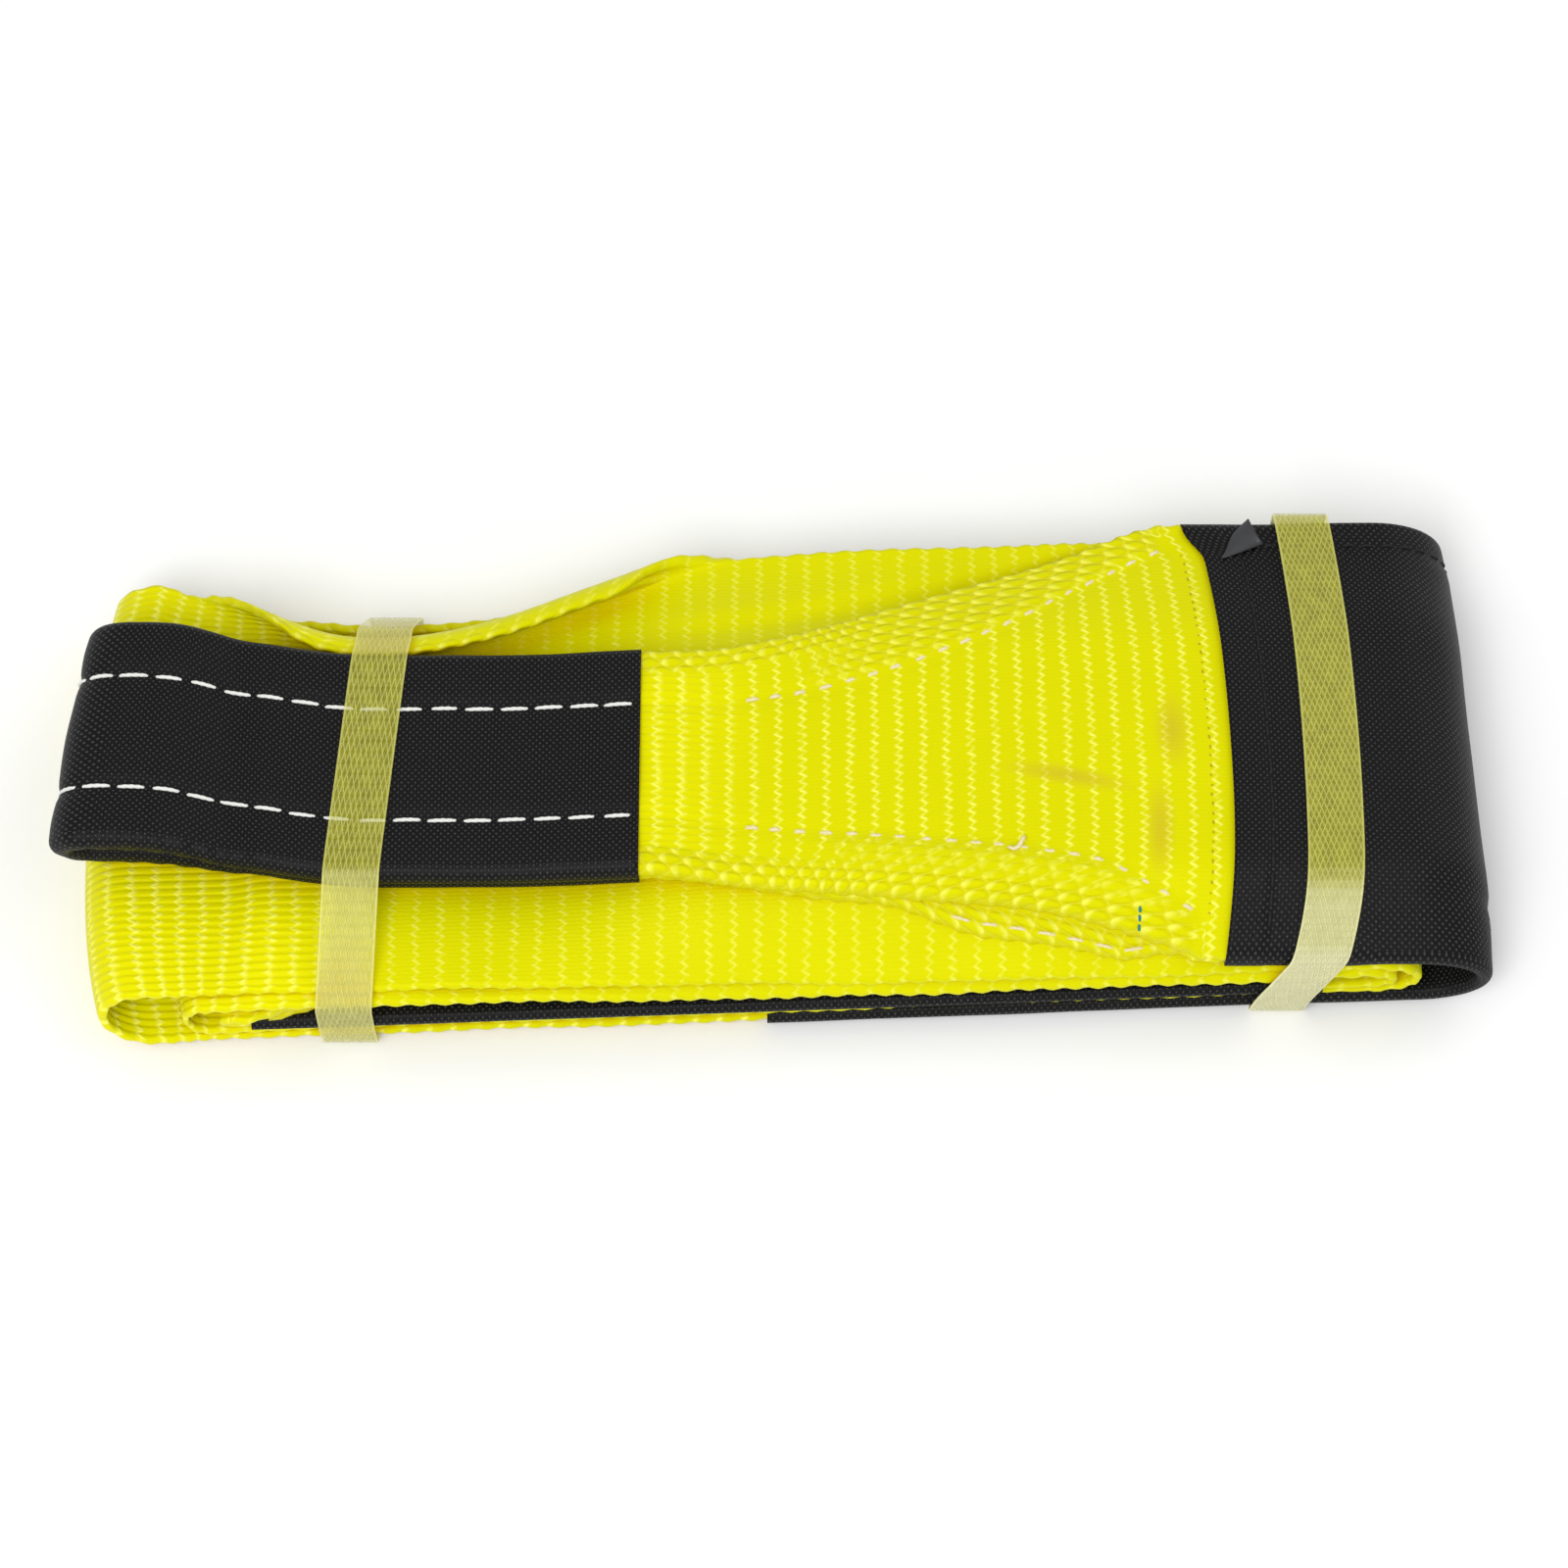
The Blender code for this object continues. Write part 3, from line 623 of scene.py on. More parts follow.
def eye_relief(station, distance, w):
    """Seam grooves, a crown between them, wrinkles, and a pucker along the near edge of the tip."""
    seam = EYE_WIDTH / 2 - SEAM_INSET
    groove = -0.55 * bell(np.abs(w), seam, 1.5)
    crown = 0.35 * np.cos(np.clip(np.abs(w) / seam, 0.0, 1.0) * math.pi / 2)
    side = 0.3 * bell(np.abs(w), seam + 7.0, 4.0)
    wrinkle = 0.22 * ripple(station.x * 2.0, w * 2.0, 5.0)
    pucker = 0.4 * math.sin(distance / 0.85) * bell(station.x, -128.0, 18.0)
    return groove + crown + side + wrinkle + pucker * bell(w, -EYE_WIDTH / 2 - 0.5, 4.0)


def outer_relief(station, distance, w):
    """A turned hem at the front, the side seam, and a pressed crease along the near side."""
    hem = 0.30 * (1.0 - ease(HEM_DEPTH + 0.5, HEM_DEPTH + 2.0, distance))
    groove = -0.35 * bell(distance, HEM_DEPTH + 0.4, 0.9) - 0.35 * bell(w, SIDE_SEAM, 1.2)
    pressed = -0.5 * bell(w, -37.0, 1.6) * ease(20.0, 45.0, distance)
    return hem + groove + pressed + 0.22 * ripple(station.x * 1.4, w * 1.2, 7.0)


def inner_relief(station, distance, w):
    return 0.12 * ripple(station.x, w, 9.0)


# Stitches

def row(route, w_of, out_of):
    """Points and outward directions of a row of stitches along a route."""
    low = np.array([ring(station, [w_of(station)], [out_of(station)])[0] for station in route])
    high = np.array([ring(station, [w_of(station)], [out_of(station) + 1.0])[0] for station in route])
    return low, high - low


def cross_row(leg, x, w, reach, outward=1.0):
    """Points and outward directions of a row of stitches across a leg."""
    station = Flat(leg, x, outward)
    low = ring(station, w, np.full_like(w, reach))
    return low, ring(station, w, np.full_like(w, reach + 1.0)) - low


def dash_rings(path, outs, length, lean, k, sewing):
    """Rings of one dash, which swells between the holes at its ends; k turns its plies."""
    sides = np.linspace(0.0, 2.0 * math.pi, 13)[:-1]
    marks = np.linspace(0.0, 1.0, len(path))
    aside = unit(np.cross(outs, unit(np.gradient(path, axis=0))))
    arch = sewing.radius * (1.15 * np.sin(marks * math.pi) ** 0.45 - 0.75) - sewing.sink
    centre = path + outs * arch[:, None] + aside * (lean + 0.12 * (marks - 0.5))[:, None]
    taper = 0.55 + 0.45 * np.sin(marks * math.pi) ** 0.35
    twist = marks * length * 2.1 + k
    plies = 0.72 + 0.28 * np.abs(np.cos(sides - twist[:, None]))
    lobes = sewing.radius * taper[:, None] * plies
    sideways = (np.cos(sides) * lobes)[:, :, None] * aside[:, None]
    return centre[:, None] + sideways + (np.sin(sides) * lobes)[:, :, None] * outs[:, None]


def add_stitches(name, node, path, outs, sewing, seed):
    """Dashes of two-ply twisted thread that dive into the cloth at both ends."""
    rng = np.random.default_rng(seed)
    s = distances(path)
    count = max(1, round(s[-1] / sewing.pitch))
    pitch = s[-1] / count
    dashes = []
    for k in range(count):
        length = sewing.dash + rng.uniform(-0.5, 0.3)
        start = k * pitch + (pitch - length) * rng.uniform(0.4, 0.6)
        at = start + np.linspace(0.0, 1.0, 15) * length
        lean = rng.uniform(-0.12, 0.12)
        dashes.append(dash_rings(resample(at, s, path), resample(at, s, outs), length, lean, k, sewing))
    n, m = dashes[0].shape[:2]
    tube = [(i * m + j, (i + 1) * m + j, (i + 1) * m + (j + 1) % m, i * m + (j + 1) % m)
            for i in range(n - 1) for j in range(m)]
    tube += [tuple(range(m)), tuple(reversed(range((n - 1) * m, n * m)))]
    faces = [[corner + k * n * m for corner in face] for k in range(count) for face in tube]
    piece = add_mesh(name, np.array(dashes).reshape(-1, 3), faces, sewing.look)
    if node:
        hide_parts(node)
    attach(piece, "strap")


def half_thick(station):
    return leg_value(station, "thick") / 2


def rear_seam_reach(station):
    in_eye = float(ease(REAR_EYE_START - 4.0, REAR_EYE_START, station.x))
    return half_thick(station) + SLEEVE_SKIN * in_eye - 0.3


def near_edge(station):
    return 1.6 - leg_value(station, "width") / 2


def eye_seam(side):
    """Where an eye's seam on one side, which its fan's continues, runs across the strip."""
    def w_of(station):
        half = leg_value(station, "width") / 2
        return side * (half - float(seam_from_edge(share_of(station), side)))
    return w_of


def add_eye_seams(sewing, sunk):
    for name, side in (("far", 1.0), ("near", -1.0)):
        w_of = eye_seam(side)
        route = run(FRONT_LOWER, FRONT_EYE_END - 4.0, FRONT_BEND, 2.0)
        route += front_tip()
        route += run(FRONT_UPPER, FRONT_BEND, FRONT_EYE_END - 1.0, 2.0)
        path, outs = row(route, w_of, lambda station: EYE_THICK / 2 + SLEEVE_SKIN - 0.5)
        add_stitches("front_eye_stitches_" + name, "front_eye_" + name + "_seam", path, outs, sewing, 3)
        path, outs = row(run(FRONT_UPPER, -8.0, 90.0, 2.0), w_of, lambda station: half_thick(station) - 0.1)
        add_stitches("front_fan_stitches_" + name, None, path, outs, sunk, 5)
        route = run(REAR_UPPER, -100.0, REAR_BEND, 4.0) + rear_tip()
        path, outs = row(route, w_of, rear_seam_reach)
        add_stitches("rear_eye_stitches_" + name, "rear_eye_" + name + "_seam", path, outs, sewing, 7)


def add_wear_sleeve_seams(sewing):
    hems = (("outer_sleeve_front_hem", FRONT_UPPER, OUTER_SLEEVE_FRONT + HEM_DEPTH, 1.0),
            ("outer_sleeve_rear_hem", BACK_OUTER, OUTER_SLEEVE_BACK + HEM_DEPTH, -1.0),
            ("inner_sleeve_right_hem", CORE, INNER_SLEEVE_RIGHT - 7.0, 1.0),
            ("inner_sleeve_left_hem", CORE, INNER_SLEEVE_LEFT + 7.0, 1.0))
    w = np.linspace(-45.0, 45.0, 60)
    for name, leg, x, outward in hems:
        path, outs = cross_row(leg, x, w, SLEEVE_TOP, outward)
        add_stitches(name + "_stitches", name + "_seam", path, outs, sewing, 13)
    route = run(FRONT_UPPER, OUTER_SLEEVE_FRONT + 10.0, OUTER_RIGHT, 2.0) + right_outer_bend()
    path, outs = row(route, lambda station: SIDE_SEAM, lambda station: SLEEVE_TOP - 0.3)
    add_stitches("outer_sleeve_side_stitches", "outer_sleeve_side_seam", path, outs, sewing, 17)
    path, outs = row(inner_sleeve_route()[4:-4], lambda station: 48.0, lambda station: SLEEVE_TOP)
    add_stitches("inner_sleeve_side_stitches", "inner_sleeve_side_seam", path, outs,
                 sewing._replace(radius=0.3), 19)


def add_tail_seams(sewing):
    path, outs = row(run(FRONT_LOWER, 36.0, 80.0, 1.0), near_edge, half_thick)
    add_stitches("front_tail_stitches", "front_tail_seam", path, outs, sewing, 23)
    path, outs = row(run(REAR_LOWER, -106.0, -44.0, 2.0), near_edge, half_thick)
    add_stitches("rear_tail_stitches", "rear_tail_seam", path, outs, sewing._replace(radius=0.3), 29)


def add_bar(name, leg, x, reach, w, sewing, seed):
    path, outs = cross_row(leg, x, w, reach)
    add_stitches(name + "_stitches", name + "_stitch", path, outs, sewing, seed)


def add_far_edge_stitches(sewing):
    """Stitches of the tail's far seam that show at the fan's edge."""
    path, outs = row(run(FRONT_UPPER, 18.0, 42.0, 1.0), lambda station: leg_value(station, "width") / 2 - 0.4,
                     lambda station: half_thick(station) - 0.5)
    add_stitches("front_tail_far_stitches", None, path, outs, sewing, 37)


def add_thread_end(sewing):
    """A thread end that curls up out of the fan's near seam."""
    route = run(FRONT_UPPER, 48.5, 52.5, 0.4)
    path, outs = row(route, eye_seam(-1.0), lambda station: half_thick(station) + 0.7)
    curl = np.linspace(0.0, 1.0, len(path))
    path += np.stack([0.0 * curl, 2.6 * curl ** 3 - 1.2 * np.sin(curl * math.pi), 0.8 * curl], -1)
    add_stitches("front_fan_thread_end", None, path, outs, sewing, 41)


def add_tracer(sewing):
    """A tracer yarn that shows at the fan's near edge."""
    x = 77.5
    w = np.linspace(0.3, 5.2, 20) - fan_width(front_share(x)) / 2
    path, outs = cross_row(FRONT_UPPER, x, w, WEB_THICK / 2 + 0.9)
    add_stitches("tracer_stitches", None, path, outs, sewing, 43)


def add_turned_corner(look):
    """The outer sleeve's far front corner, turned over so that its coated back shows."""
    tip = np.array((100.0, 40.3))
    left = np.array((110.5, 50.8))
    right = np.array((111.2, 44.5))
    rings = []
    for share in np.linspace(0.06, 1.0, 9):
        spots = np.linspace(mix(tip, left, share), mix(tip, right, share), 7)
        lift = SLEEVE_TOP + 0.35 + 0.9 * share * np.sin(np.linspace(0.0, math.pi, 7))
        lower = [ring(Flat(FRONT_UPPER, x, 1.0), [w], [up])[0] for (x, w), up in zip(spots, lift)]
        upper = [ring(Flat(FRONT_UPPER, x, 1.0), [w], [up + 0.35])[0] for (x, w), up in zip(spots, lift)]
        rings.append(upper + lower[::-1])
    rings = np.array(rings)
    soft_points.append(rings.reshape(-1, 3))
    places = np.zeros((rings.shape[0], rings.shape[1] + 1))
    piece = solid("outer_wear_turned_corner", rings, {"cloth": (places, places)}, look)
    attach(piece, "strap")


# Strapping bands

def turns_by(a, b, c):
    """How sharply the way from a through b to c turns left."""
    return (b[0] - a[0]) * (c[1] - a[1]) - (b[1] - a[1]) * (c[0] - a[0])


def hull(points):
    """Corners of the convex outline round points in a plane, counter-clockwise."""
    ordered = sorted(set(map(tuple, np.round(points, 2))))

    def half_of(sequence):
        chain = []
        for point in sequence:
            while len(chain) > 1 and turns_by(chain[-2], chain[-1], point) <= 0.0:
                chain.pop()
            chain.append(point)
        return chain[:-1]
    return half_of(ordered) + half_of(reversed(ordered))


def left_band_x(y, z):
    return -87.0 + 0.085 * y - 1.5 * ease(24.0, 44.0, y)


def right_band_x(y, z):
    return 118.2 - 0.0008 * (y + 8.0) ** 2 - 9.3 * (1.0 - ease(2.0, 36.0, z)) * (1.0 - ease(-52.0, 52.0, y))


def band_path(x_at, reach):
    """The band's closed path, tight round everything within reach, and its outward directions."""
    points = np.concatenate(soft_points)
    near = np.abs(points[:, 0] - x_at(points[:, 1], points[:, 2])) < reach
    corners = np.array(hull(points[near][:, 1:]))
    clear = BAND_PLAY + BAND_THICK / 2
    outline, directions = [], []
    for before, corner, after in zip(np.roll(corners, 1, axis=0), corners, np.roll(corners, -1, axis=0)):
        start = math.atan2(before[0] - corner[0], corner[1] - before[1])
        stop = math.atan2(corner[0] - after[0], after[1] - corner[1])
        stop = start + (stop - start) % (2.0 * math.pi)
        for angle in np.linspace(start, stop, max(2, int((stop - start) / 0.12) + 1)):
            direction = np.array((math.cos(angle), math.sin(angle)))
            outline.append(corner + direction * clear)
            directions.append(direction)
    outline = np.array(outline + outline[:1])
    directions = np.array(directions + directions[:1])
    s = distances(outline)
    marks = np.linspace(0.0, s[-1], int(s[-1] / 0.9) + 1)
    return resample(marks, s, outline), unit(resample(marks, s, directions)), marks


def add_band(name, node, x_at, look):
    path, facing, marks = band_path(x_at, BAND_WIDTH / 2 + 7.0)
    half = BAND_WIDTH / 2
    flat = np.linspace(0.2 - half, half - 0.2, 9)
    side = np.concatenate([flat, [half], flat[::-1], [-half]])
    out = np.repeat([0.5, 0.0, -0.5, 0.0], [9, 1, 9, 1]) * BAND_THICK
    y, z = (path[:, axis, None] + facing[:, axis, None] * out for axis in (0, 1))
    x = x_at(path[:, 0], path[:, 1])[:, None] + side
    rings = np.stack([x, y, z], -1)[:-1]
    u, v = np.meshgrid(marks, np.append(side, side[0]), indexing="ij")
    upright = np.broadcast_to(facing[:, 1:], u.shape)
    piece = solid(name, rings, {"cloth": (u, v), "form": (upright, upright)}, look, closed=True)
    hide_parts(node)
    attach(piece, node)


# Materials

LEMON_DEEP = (0.637, 0.630, 0.0)
LEMON = (0.710, 0.703, 0.0)
FINE_SHADE = (0.62, 0.585, 0.0)
# Painted light: a brighter lemon where the yarns stand out
LIT_DRAWN_YARN = (0.82, 0.78, 0.0)
# Painted shade in the hollows between drawn yarns and between scales
SHADE_BETWEEN_YARNS = (0.54, 0.44, 0.0)
SHADE_BETWEEN_SCALES = (0.56, 0.47, 0.0)
# A painted highlight: pale yellow where the yarns catch the light
PAINTED_GLINT = (0.94, 0.93, 0.14)
STAIN = (0.56, 0.42, 0.02)
# Painted shade: golden where folds and edges shade the webbing
PAINTED_FOLD_SHADE = (0.70, 0.53, 0.0)
CLOTH_PIT = (0.00075, 0.00075, 0.000825)
# A painted highlight on the crossings of the black weave
CROSSING_HIGHLIGHT = (0.1125, 0.111, 0.1155)
LINT = (0.12, 0.12, 0.12)
PLASTIC = (0.82, 0.80, 0.05)
PLASTIC_RIDGE = (0.97, 0.95, 0.22)
# A painted sheen, milky, on the bands' slopes
SLOPE_SHEEN = (0.93, 0.91, 0.52)


class Look:
    """A material and short ways to add nodes to it."""

    def __init__(self, name):
        self.material = bpy.data.materials.new(name)
        self.material.use_nodes = True
        self.tree = self.material.node_tree
        self.shader = self.tree.nodes["Principled BSDF"]

    def link(self, source, socket):
        if isinstance(source, tuple):
            socket.default_value = (*source, 1.0)
        elif isinstance(source, (int, float)):
            socket.default_value = source
        else:
            self.tree.links.new(source, socket)

    def math(self, operation, a, b=0.0, c=0.0):
        made = self.tree.nodes.new("ShaderNodeMath")
        made.operation = operation
        for value, socket in zip((a, b, c), made.inputs):
            self.link(value, socket)
        return made.outputs[0]

    def times(self, first, *factors):
        for factor in factors:
            first = self.math("MULTIPLY", first, factor)
        return first

    def fit(self, value, scale, shift):
        return self.math("MULTIPLY_ADD", value, scale, shift)

    def rest(self, value):
        return self.math("SUBTRACT", 1.0, value)

    def most(self, a, b):
        return self.math("MAXIMUM", a, b)

    def step(self, low, high, value):
        """A smooth step from 0 at low to 1 at high."""
        made = self.tree.nodes.new("ShaderNodeMapRange")
        made.interpolation_type = "SMOOTHSTEP"
        self.link(value, made.inputs["Value"])
        made.inputs["From Min"].default_value = low
        made.inputs["From Max"].default_value = high
        return made.outputs["Result"]

    def triangle(self, value, period):
        """From 1 down to 0 and back over each period."""
        saw = self.math("FRACT", self.math("DIVIDE", value, period))
        return self.math("ABSOLUTE", self.fit(saw, 2.0, -1.0))

    def place(self, title="cloth"):
        """A map's coordinates in mm, whole and apart; the cloth's own are along and across."""
        made = self.tree.nodes.new("ShaderNodeUVMap")
        made.uv_map = title
        split = self.tree.nodes.new("ShaderNodeSeparateXYZ")
        self.tree.links.new(made.outputs["UV"], split.inputs[0])
        return made.outputs["UV"], split.outputs["X"], split.outputs["Y"]

    def object_place(self):
        return self.tree.nodes.new("ShaderNodeTexCoord").outputs["Object"]

    def shelter(self, distance):
        """1 in the open, falling towards 0 in folds and under edges; the webbing paints its shade by this."""
        made = self.tree.nodes.new("ShaderNodeAmbientOcclusion")
        made.samples = 6
        made.inputs["Distance"].default_value = distance
        return made.outputs["AO"]

    def noise(self, vector, scale, detail=3.0):
        made = self.tree.nodes.new("ShaderNodeTexNoise")
        made.inputs["Scale"].default_value = scale
        made.inputs["Detail"].default_value = detail
        self.tree.links.new(vector, made.inputs["Vector"])
        return made.outputs["Fac"]

    def colour(self, share, first, second):
        made = self.tree.nodes.new("ShaderNodeMix")
        made.data_type = "RGBA"
        self.link(share, made.inputs[0])
        self.link(first, made.inputs[6])
        self.link(second, made.inputs[7])
        return made.outputs[2]

    def feed(self, title, source):
        self.tree.links.new(source, self.shader.inputs[title])

    def bump(self, height, distance):
        made = self.tree.nodes.new("ShaderNodeBump")
        made.inputs["Distance"].default_value = distance
        made.inputs["Strength"].default_value = 1.0
        self.link(height, made.inputs["Height"])
        self.feed("Normal", made.outputs["Normal"])

    def set(self, **values):
        for name, value in values.items():
            self.shader.inputs[name.replace("_", " ")].default_value = value


def weave(look, cloth, s, w):
    """Zigzag lines between the ribs, the lobes of drawn yarns, and the wedge on each lobe; the webbing paints
    the lines and the wedges as highlights.
    """
    wander = look.times(look.math("SUBTRACT", look.noise(cloth, 0.12), 0.5), 1.6)
    zigzag = look.fit(look.triangle(w, FLOAT_PITCH), 1.25, wander)
    column = look.math("FRACT", look.math("DIVIDE", look.math("ADD", s, zigzag), RIB_PITCH))
    past = look.math("SUBTRACT", column, 0.5)
    stroke = look.triangle(look.math("ADD", w, 0.45), FLOAT_PITCH)
    thin = look.fit(stroke, -0.050, look.math("ABSOLUTE", past))
    line = look.times(look.rest(look.step(-0.02, 0.125, thin)), look.fit(stroke, 0.5, 0.55))
    lobe = look.step(0.0, 0.9, look.triangle(look.math("ADD", w, 0.2), 0.92 * FLOAT_PITCH))
    highlight_wedge = look.times(look.step(-0.03, 0.02, past), look.step(0.32, 0.06, past), lobe)
    return line, lobe, highlight_wedge


def scales(look, s, inward):
    """Long floats laid like scales in rows along an edge: their height, outline and end; the webbing paints
    the outline and the end as highlights.
    """
    row_place = look.math("DIVIDE", inward, SCALE_ROW)
    odd = look.math("PINGPONG", look.math("FLOOR", row_place), 1.0)
    shifted = look.fit(odd, 0.5, look.math("DIVIDE", s, RIB_PITCH))
    along = look.math("SUBTRACT", look.math("FRACT", shifted), 0.5)
    across = look.math("SUBTRACT", look.math("FRACT", row_place), 0.5)
    inside = look.fit(look.times(along, along), -4.0, 1.0)
    inside = look.fit(look.times(across, across), -3.4, inside)
    outline = look.rest(look.step(0.02, 0.30, look.math("ABSOLUTE", inside)))
    end = look.times(look.step(-0.08, -0.42, along), look.step(0.0, 0.25, inside))
    return look.step(-0.1, 0.9, inside), outline, end


def stain_share(look, s, w, stains):
    """Faint tan smudges, each (along, across, half length, half width, slant)."""
    share = 0.0
    for along, across, long, wide, slant in stains:
        past = look.math("SUBTRACT", s, along)
        aside = look.math("SUBTRACT", look.math("SUBTRACT", w, across), look.times(past, slant))
        far = look.math("DIVIDE", past, long)
        off = look.math("DIVIDE", aside, wide)
        reach = look.math("SQRT", look.fit(far, far, look.times(off, off)))
        share = look.most(look.times(look.rest(look.step(0.0, 1.3, reach)), 0.62), share)
    return share


def webbing_look(stains, inner_from):
    """Ribbed lemon webbing with painted highlights; its weave and the highlights painted on it show less from
    inner_from on, under the first turn.
    """
    look = Look("lemon_webbing")
    cloth, s, w = look.place()
    inward, worked = look.place("form")[1:]
    in_scales = look.step(0.0, 1.0, worked)
    in_drawn = look.step(0.0, -1.0, worked)
    line, lobe, highlight_wedge = weave(look, cloth, s, w)
    raised, outline, end = scales(look, s, inward)
    broken = look.step(0.24, 0.58, look.noise(cloth, 0.55))
    faint = look.fit(look.step(inner_from, inner_from + 20.0, s), -0.45, 1.0)
    line = look.times(line, broken, look.rest(in_scales), faint)
    fine = look.triangle(look.fit(look.noise(cloth, 0.8, 1.0), 0.7, w), 0.85)
    # Painted highlights: pale scale outlines and ends, the zigzag lines and the wedges on drawn yarns
    painted_highlight = look.times(look.most(look.times(outline, 0.22), end), in_scales, look.fit(broken, 0.5, 0.4))
    painted_highlight = look.times(look.most(painted_highlight, line), 0.85)
    painted_highlight = look.most(painted_highlight, look.times(highlight_wedge, in_drawn, 0.8))
    # Colour layers: fine yarn lines, painted light on drawn yarns, painted shade between yarns and between
    # scales, painted highlights, and real tan stains
    layers = ((look.times(fine, 0.16), FINE_SHADE),
              (look.times(in_drawn, 0.6), LIT_DRAWN_YARN),
              (look.times(look.rest(lobe), in_drawn, 0.10), SHADE_BETWEEN_YARNS),
              (look.times(look.rest(raised), in_scales, 0.34), SHADE_BETWEEN_SCALES),
              (painted_highlight, PAINTED_GLINT),
              (stain_share(look, s, w, stains), STAIN))
    lemon = look.colour(look.noise(cloth, 0.03, 2.0), LEMON_DEEP, LEMON)
    for share, tint in layers:
        lemon = look.colour(share, lemon, tint)
    # Painted shade: golden where ambient occlusion finds folds and edges
    look.feed("Base Color", look.colour(look.step(0.15, 0.75, look.shelter(0.009)), PAINTED_FOLD_SHADE, lemon))
    height = look.fit(look.times(lobe, in_drawn), 0.5, look.times(line, 0.35))
    height = look.fit(look.times(raised, in_scales), 0.9, height)
    height = look.fit(fine, 0.10, height)
    look.bump(look.fit(look.noise(cloth, 2.2, 4.0), 0.12, height), 0.00028)
    look.set(Roughness=0.45, Specular_IOR_Level=0.30, Specular_Tint=(1.0, 0.93, 0.08, 1.0))
    return look.material


def sleeve_look():
    """Black basket weave: a painted highlight dot where the yarns cross, worn unevenly, with a little lint.
    """
    look = Look("black_basket_weave")
    cloth, s, w = look.place()
    first = look.triangle(look.math("ADD", s, w), WEAVE_PITCH)
    second = look.triangle(look.math("SUBTRACT", s, w), WEAVE_PITCH)
    dot = look.times(look.step(0.3, 1.0, first), look.step(0.3, 1.0, second))
    worn = look.noise(cloth, 0.9, 4.0)
    # Painted highlights on the crossings
    colour = look.colour(look.times(dot, look.fit(worn, 1.4, 0.2)), CLOTH_PIT, CROSSING_HIGHLIGHT)
    lint = look.step(0.76, 0.82, look.noise(cloth, 1.7, 2.0))
    look.feed("Base Color", look.colour(look.times(lint, 0.2), colour, LINT))
    look.bump(look.fit(worn, 0.3, dot), 0.00050)
    look.set(Roughness=0.5, Specular_IOR_Level=0.18)
    return look.material


def thread_look(name, colour, shade, roughness):
    look = Look(name)
    fuzz = look.noise(look.object_place(), 2600.0, 4.0)
    look.feed("Base Color", look.colour(fuzz, shade, colour))
    look.bump(fuzz, 0.00012)
    look.set(Roughness=roughness, Specular_IOR_Level=0.3, Sheen_Weight=0.2 * colour[0])
    return look.material


def coated_look():
    """The smooth coated back of the sleeve fabric."""
    look = Look("coated_back")
    cloud = look.noise(look.object_place(), 500.0, 3.0)
    look.feed("Base Color", look.colour(cloud, (0.028, 0.029, 0.032), (0.042, 0.043, 0.047)))
    look.bump(cloud, 0.00005)
    look.set(Roughness=0.42, Specular_IOR_Level=0.4)
    return look.material


def band_look(name, row_length, milk_and_sheen):
    """Clouded plastic with an embossed lattice, more or less milky all over, with a painted milky sheen where
    it slopes away from the top.
    """
    look = Look(name)
    cloth, s, w = look.place()
    across = look.math("DIVIDE", w, 1.15)
    along = look.math("DIVIDE", s, row_length)
    first = look.triangle(look.math("ADD", across, along), 1.0)
    second = look.triangle(look.math("SUBTRACT", across, along), 1.0)
    ridge = look.most(look.step(0.5, 1.0, first), look.step(0.5, 1.0, second))
    pit = look.times(look.step(0.35, 0.0, first), look.step(0.35, 0.0, second))
    rim = look.step(BAND_WIDTH / 2 - 0.7, BAND_WIDTH / 2 - 0.2, look.math("ABSOLUTE", w))
    ridge = look.most(ridge, rim)
    # Painted sheen: milkier and more opaque where the band turns away from the top
    painted_sheen = look.times(look.step(0.98, 0.78, look.place("form")[1]), milk_and_sheen)
    colour = look.colour(ridge, PLASTIC, PLASTIC_RIDGE)
    look.feed("Base Color", look.colour(painted_sheen, colour, SLOPE_SHEEN))
    alpha = look.fit(ridge, 0.18, look.times(look.noise(cloth, 0.35, 2.0), 0.22))
    alpha = look.fit(pit, -0.10, look.math("ADD", alpha, 0.08 + 0.04 * milk_and_sheen))
    look.feed("Alpha", look.fit(painted_sheen, 0.38, alpha))
    look.bump(ridge, 0.00022)
    look.set(Roughness=0.30, Specular_IOR_Level=0.55)
    return look.material


# The object

def distance_on(leg, x):
    """How far along the strip a place on one of its legs that run to the right is."""
    on_leg = [i for i, station in enumerate(webbing) if isinstance(station, Flat) and station.leg is leg]
    return float(np.interp(x, [webbing[i].x for i in on_leg], webbing_s[on_leg]))


def fan_stains():
    """Where the fan is smudged: a slanting streak and two patches."""
    streak = (distance_on(FRONT_UPPER, 62.0), -11.4, 14.0, 2.4, -0.25)
    far_patch = (distance_on(FRONT_UPPER, 84.8), -1.7, 4.0, 8.5, 0.0)
    near_patch = (distance_on(FRONT_UPPER, 81.4), -24.5, 3.2, 11.0, 0.0)
    return streak, far_patch, near_patch


webbing = webbing_route()
webbing_s = lengths(webbing)

yellow = webbing_look(fan_stains(), distance_on(SECOND, LEFT_FOLD))
black = sleeve_look()
white = thread_look("white_thread", (0.95, 0.95, 0.92), (0.62, 0.62, 0.58), 0.6)
worn_white = thread_look("sunk_thread", (0.92, 0.84, 0.60), (0.62, 0.52, 0.18), 0.6)
dark = thread_look("black_thread", (0.016, 0.016, 0.017), (0.004, 0.004, 0.004), 0.7)
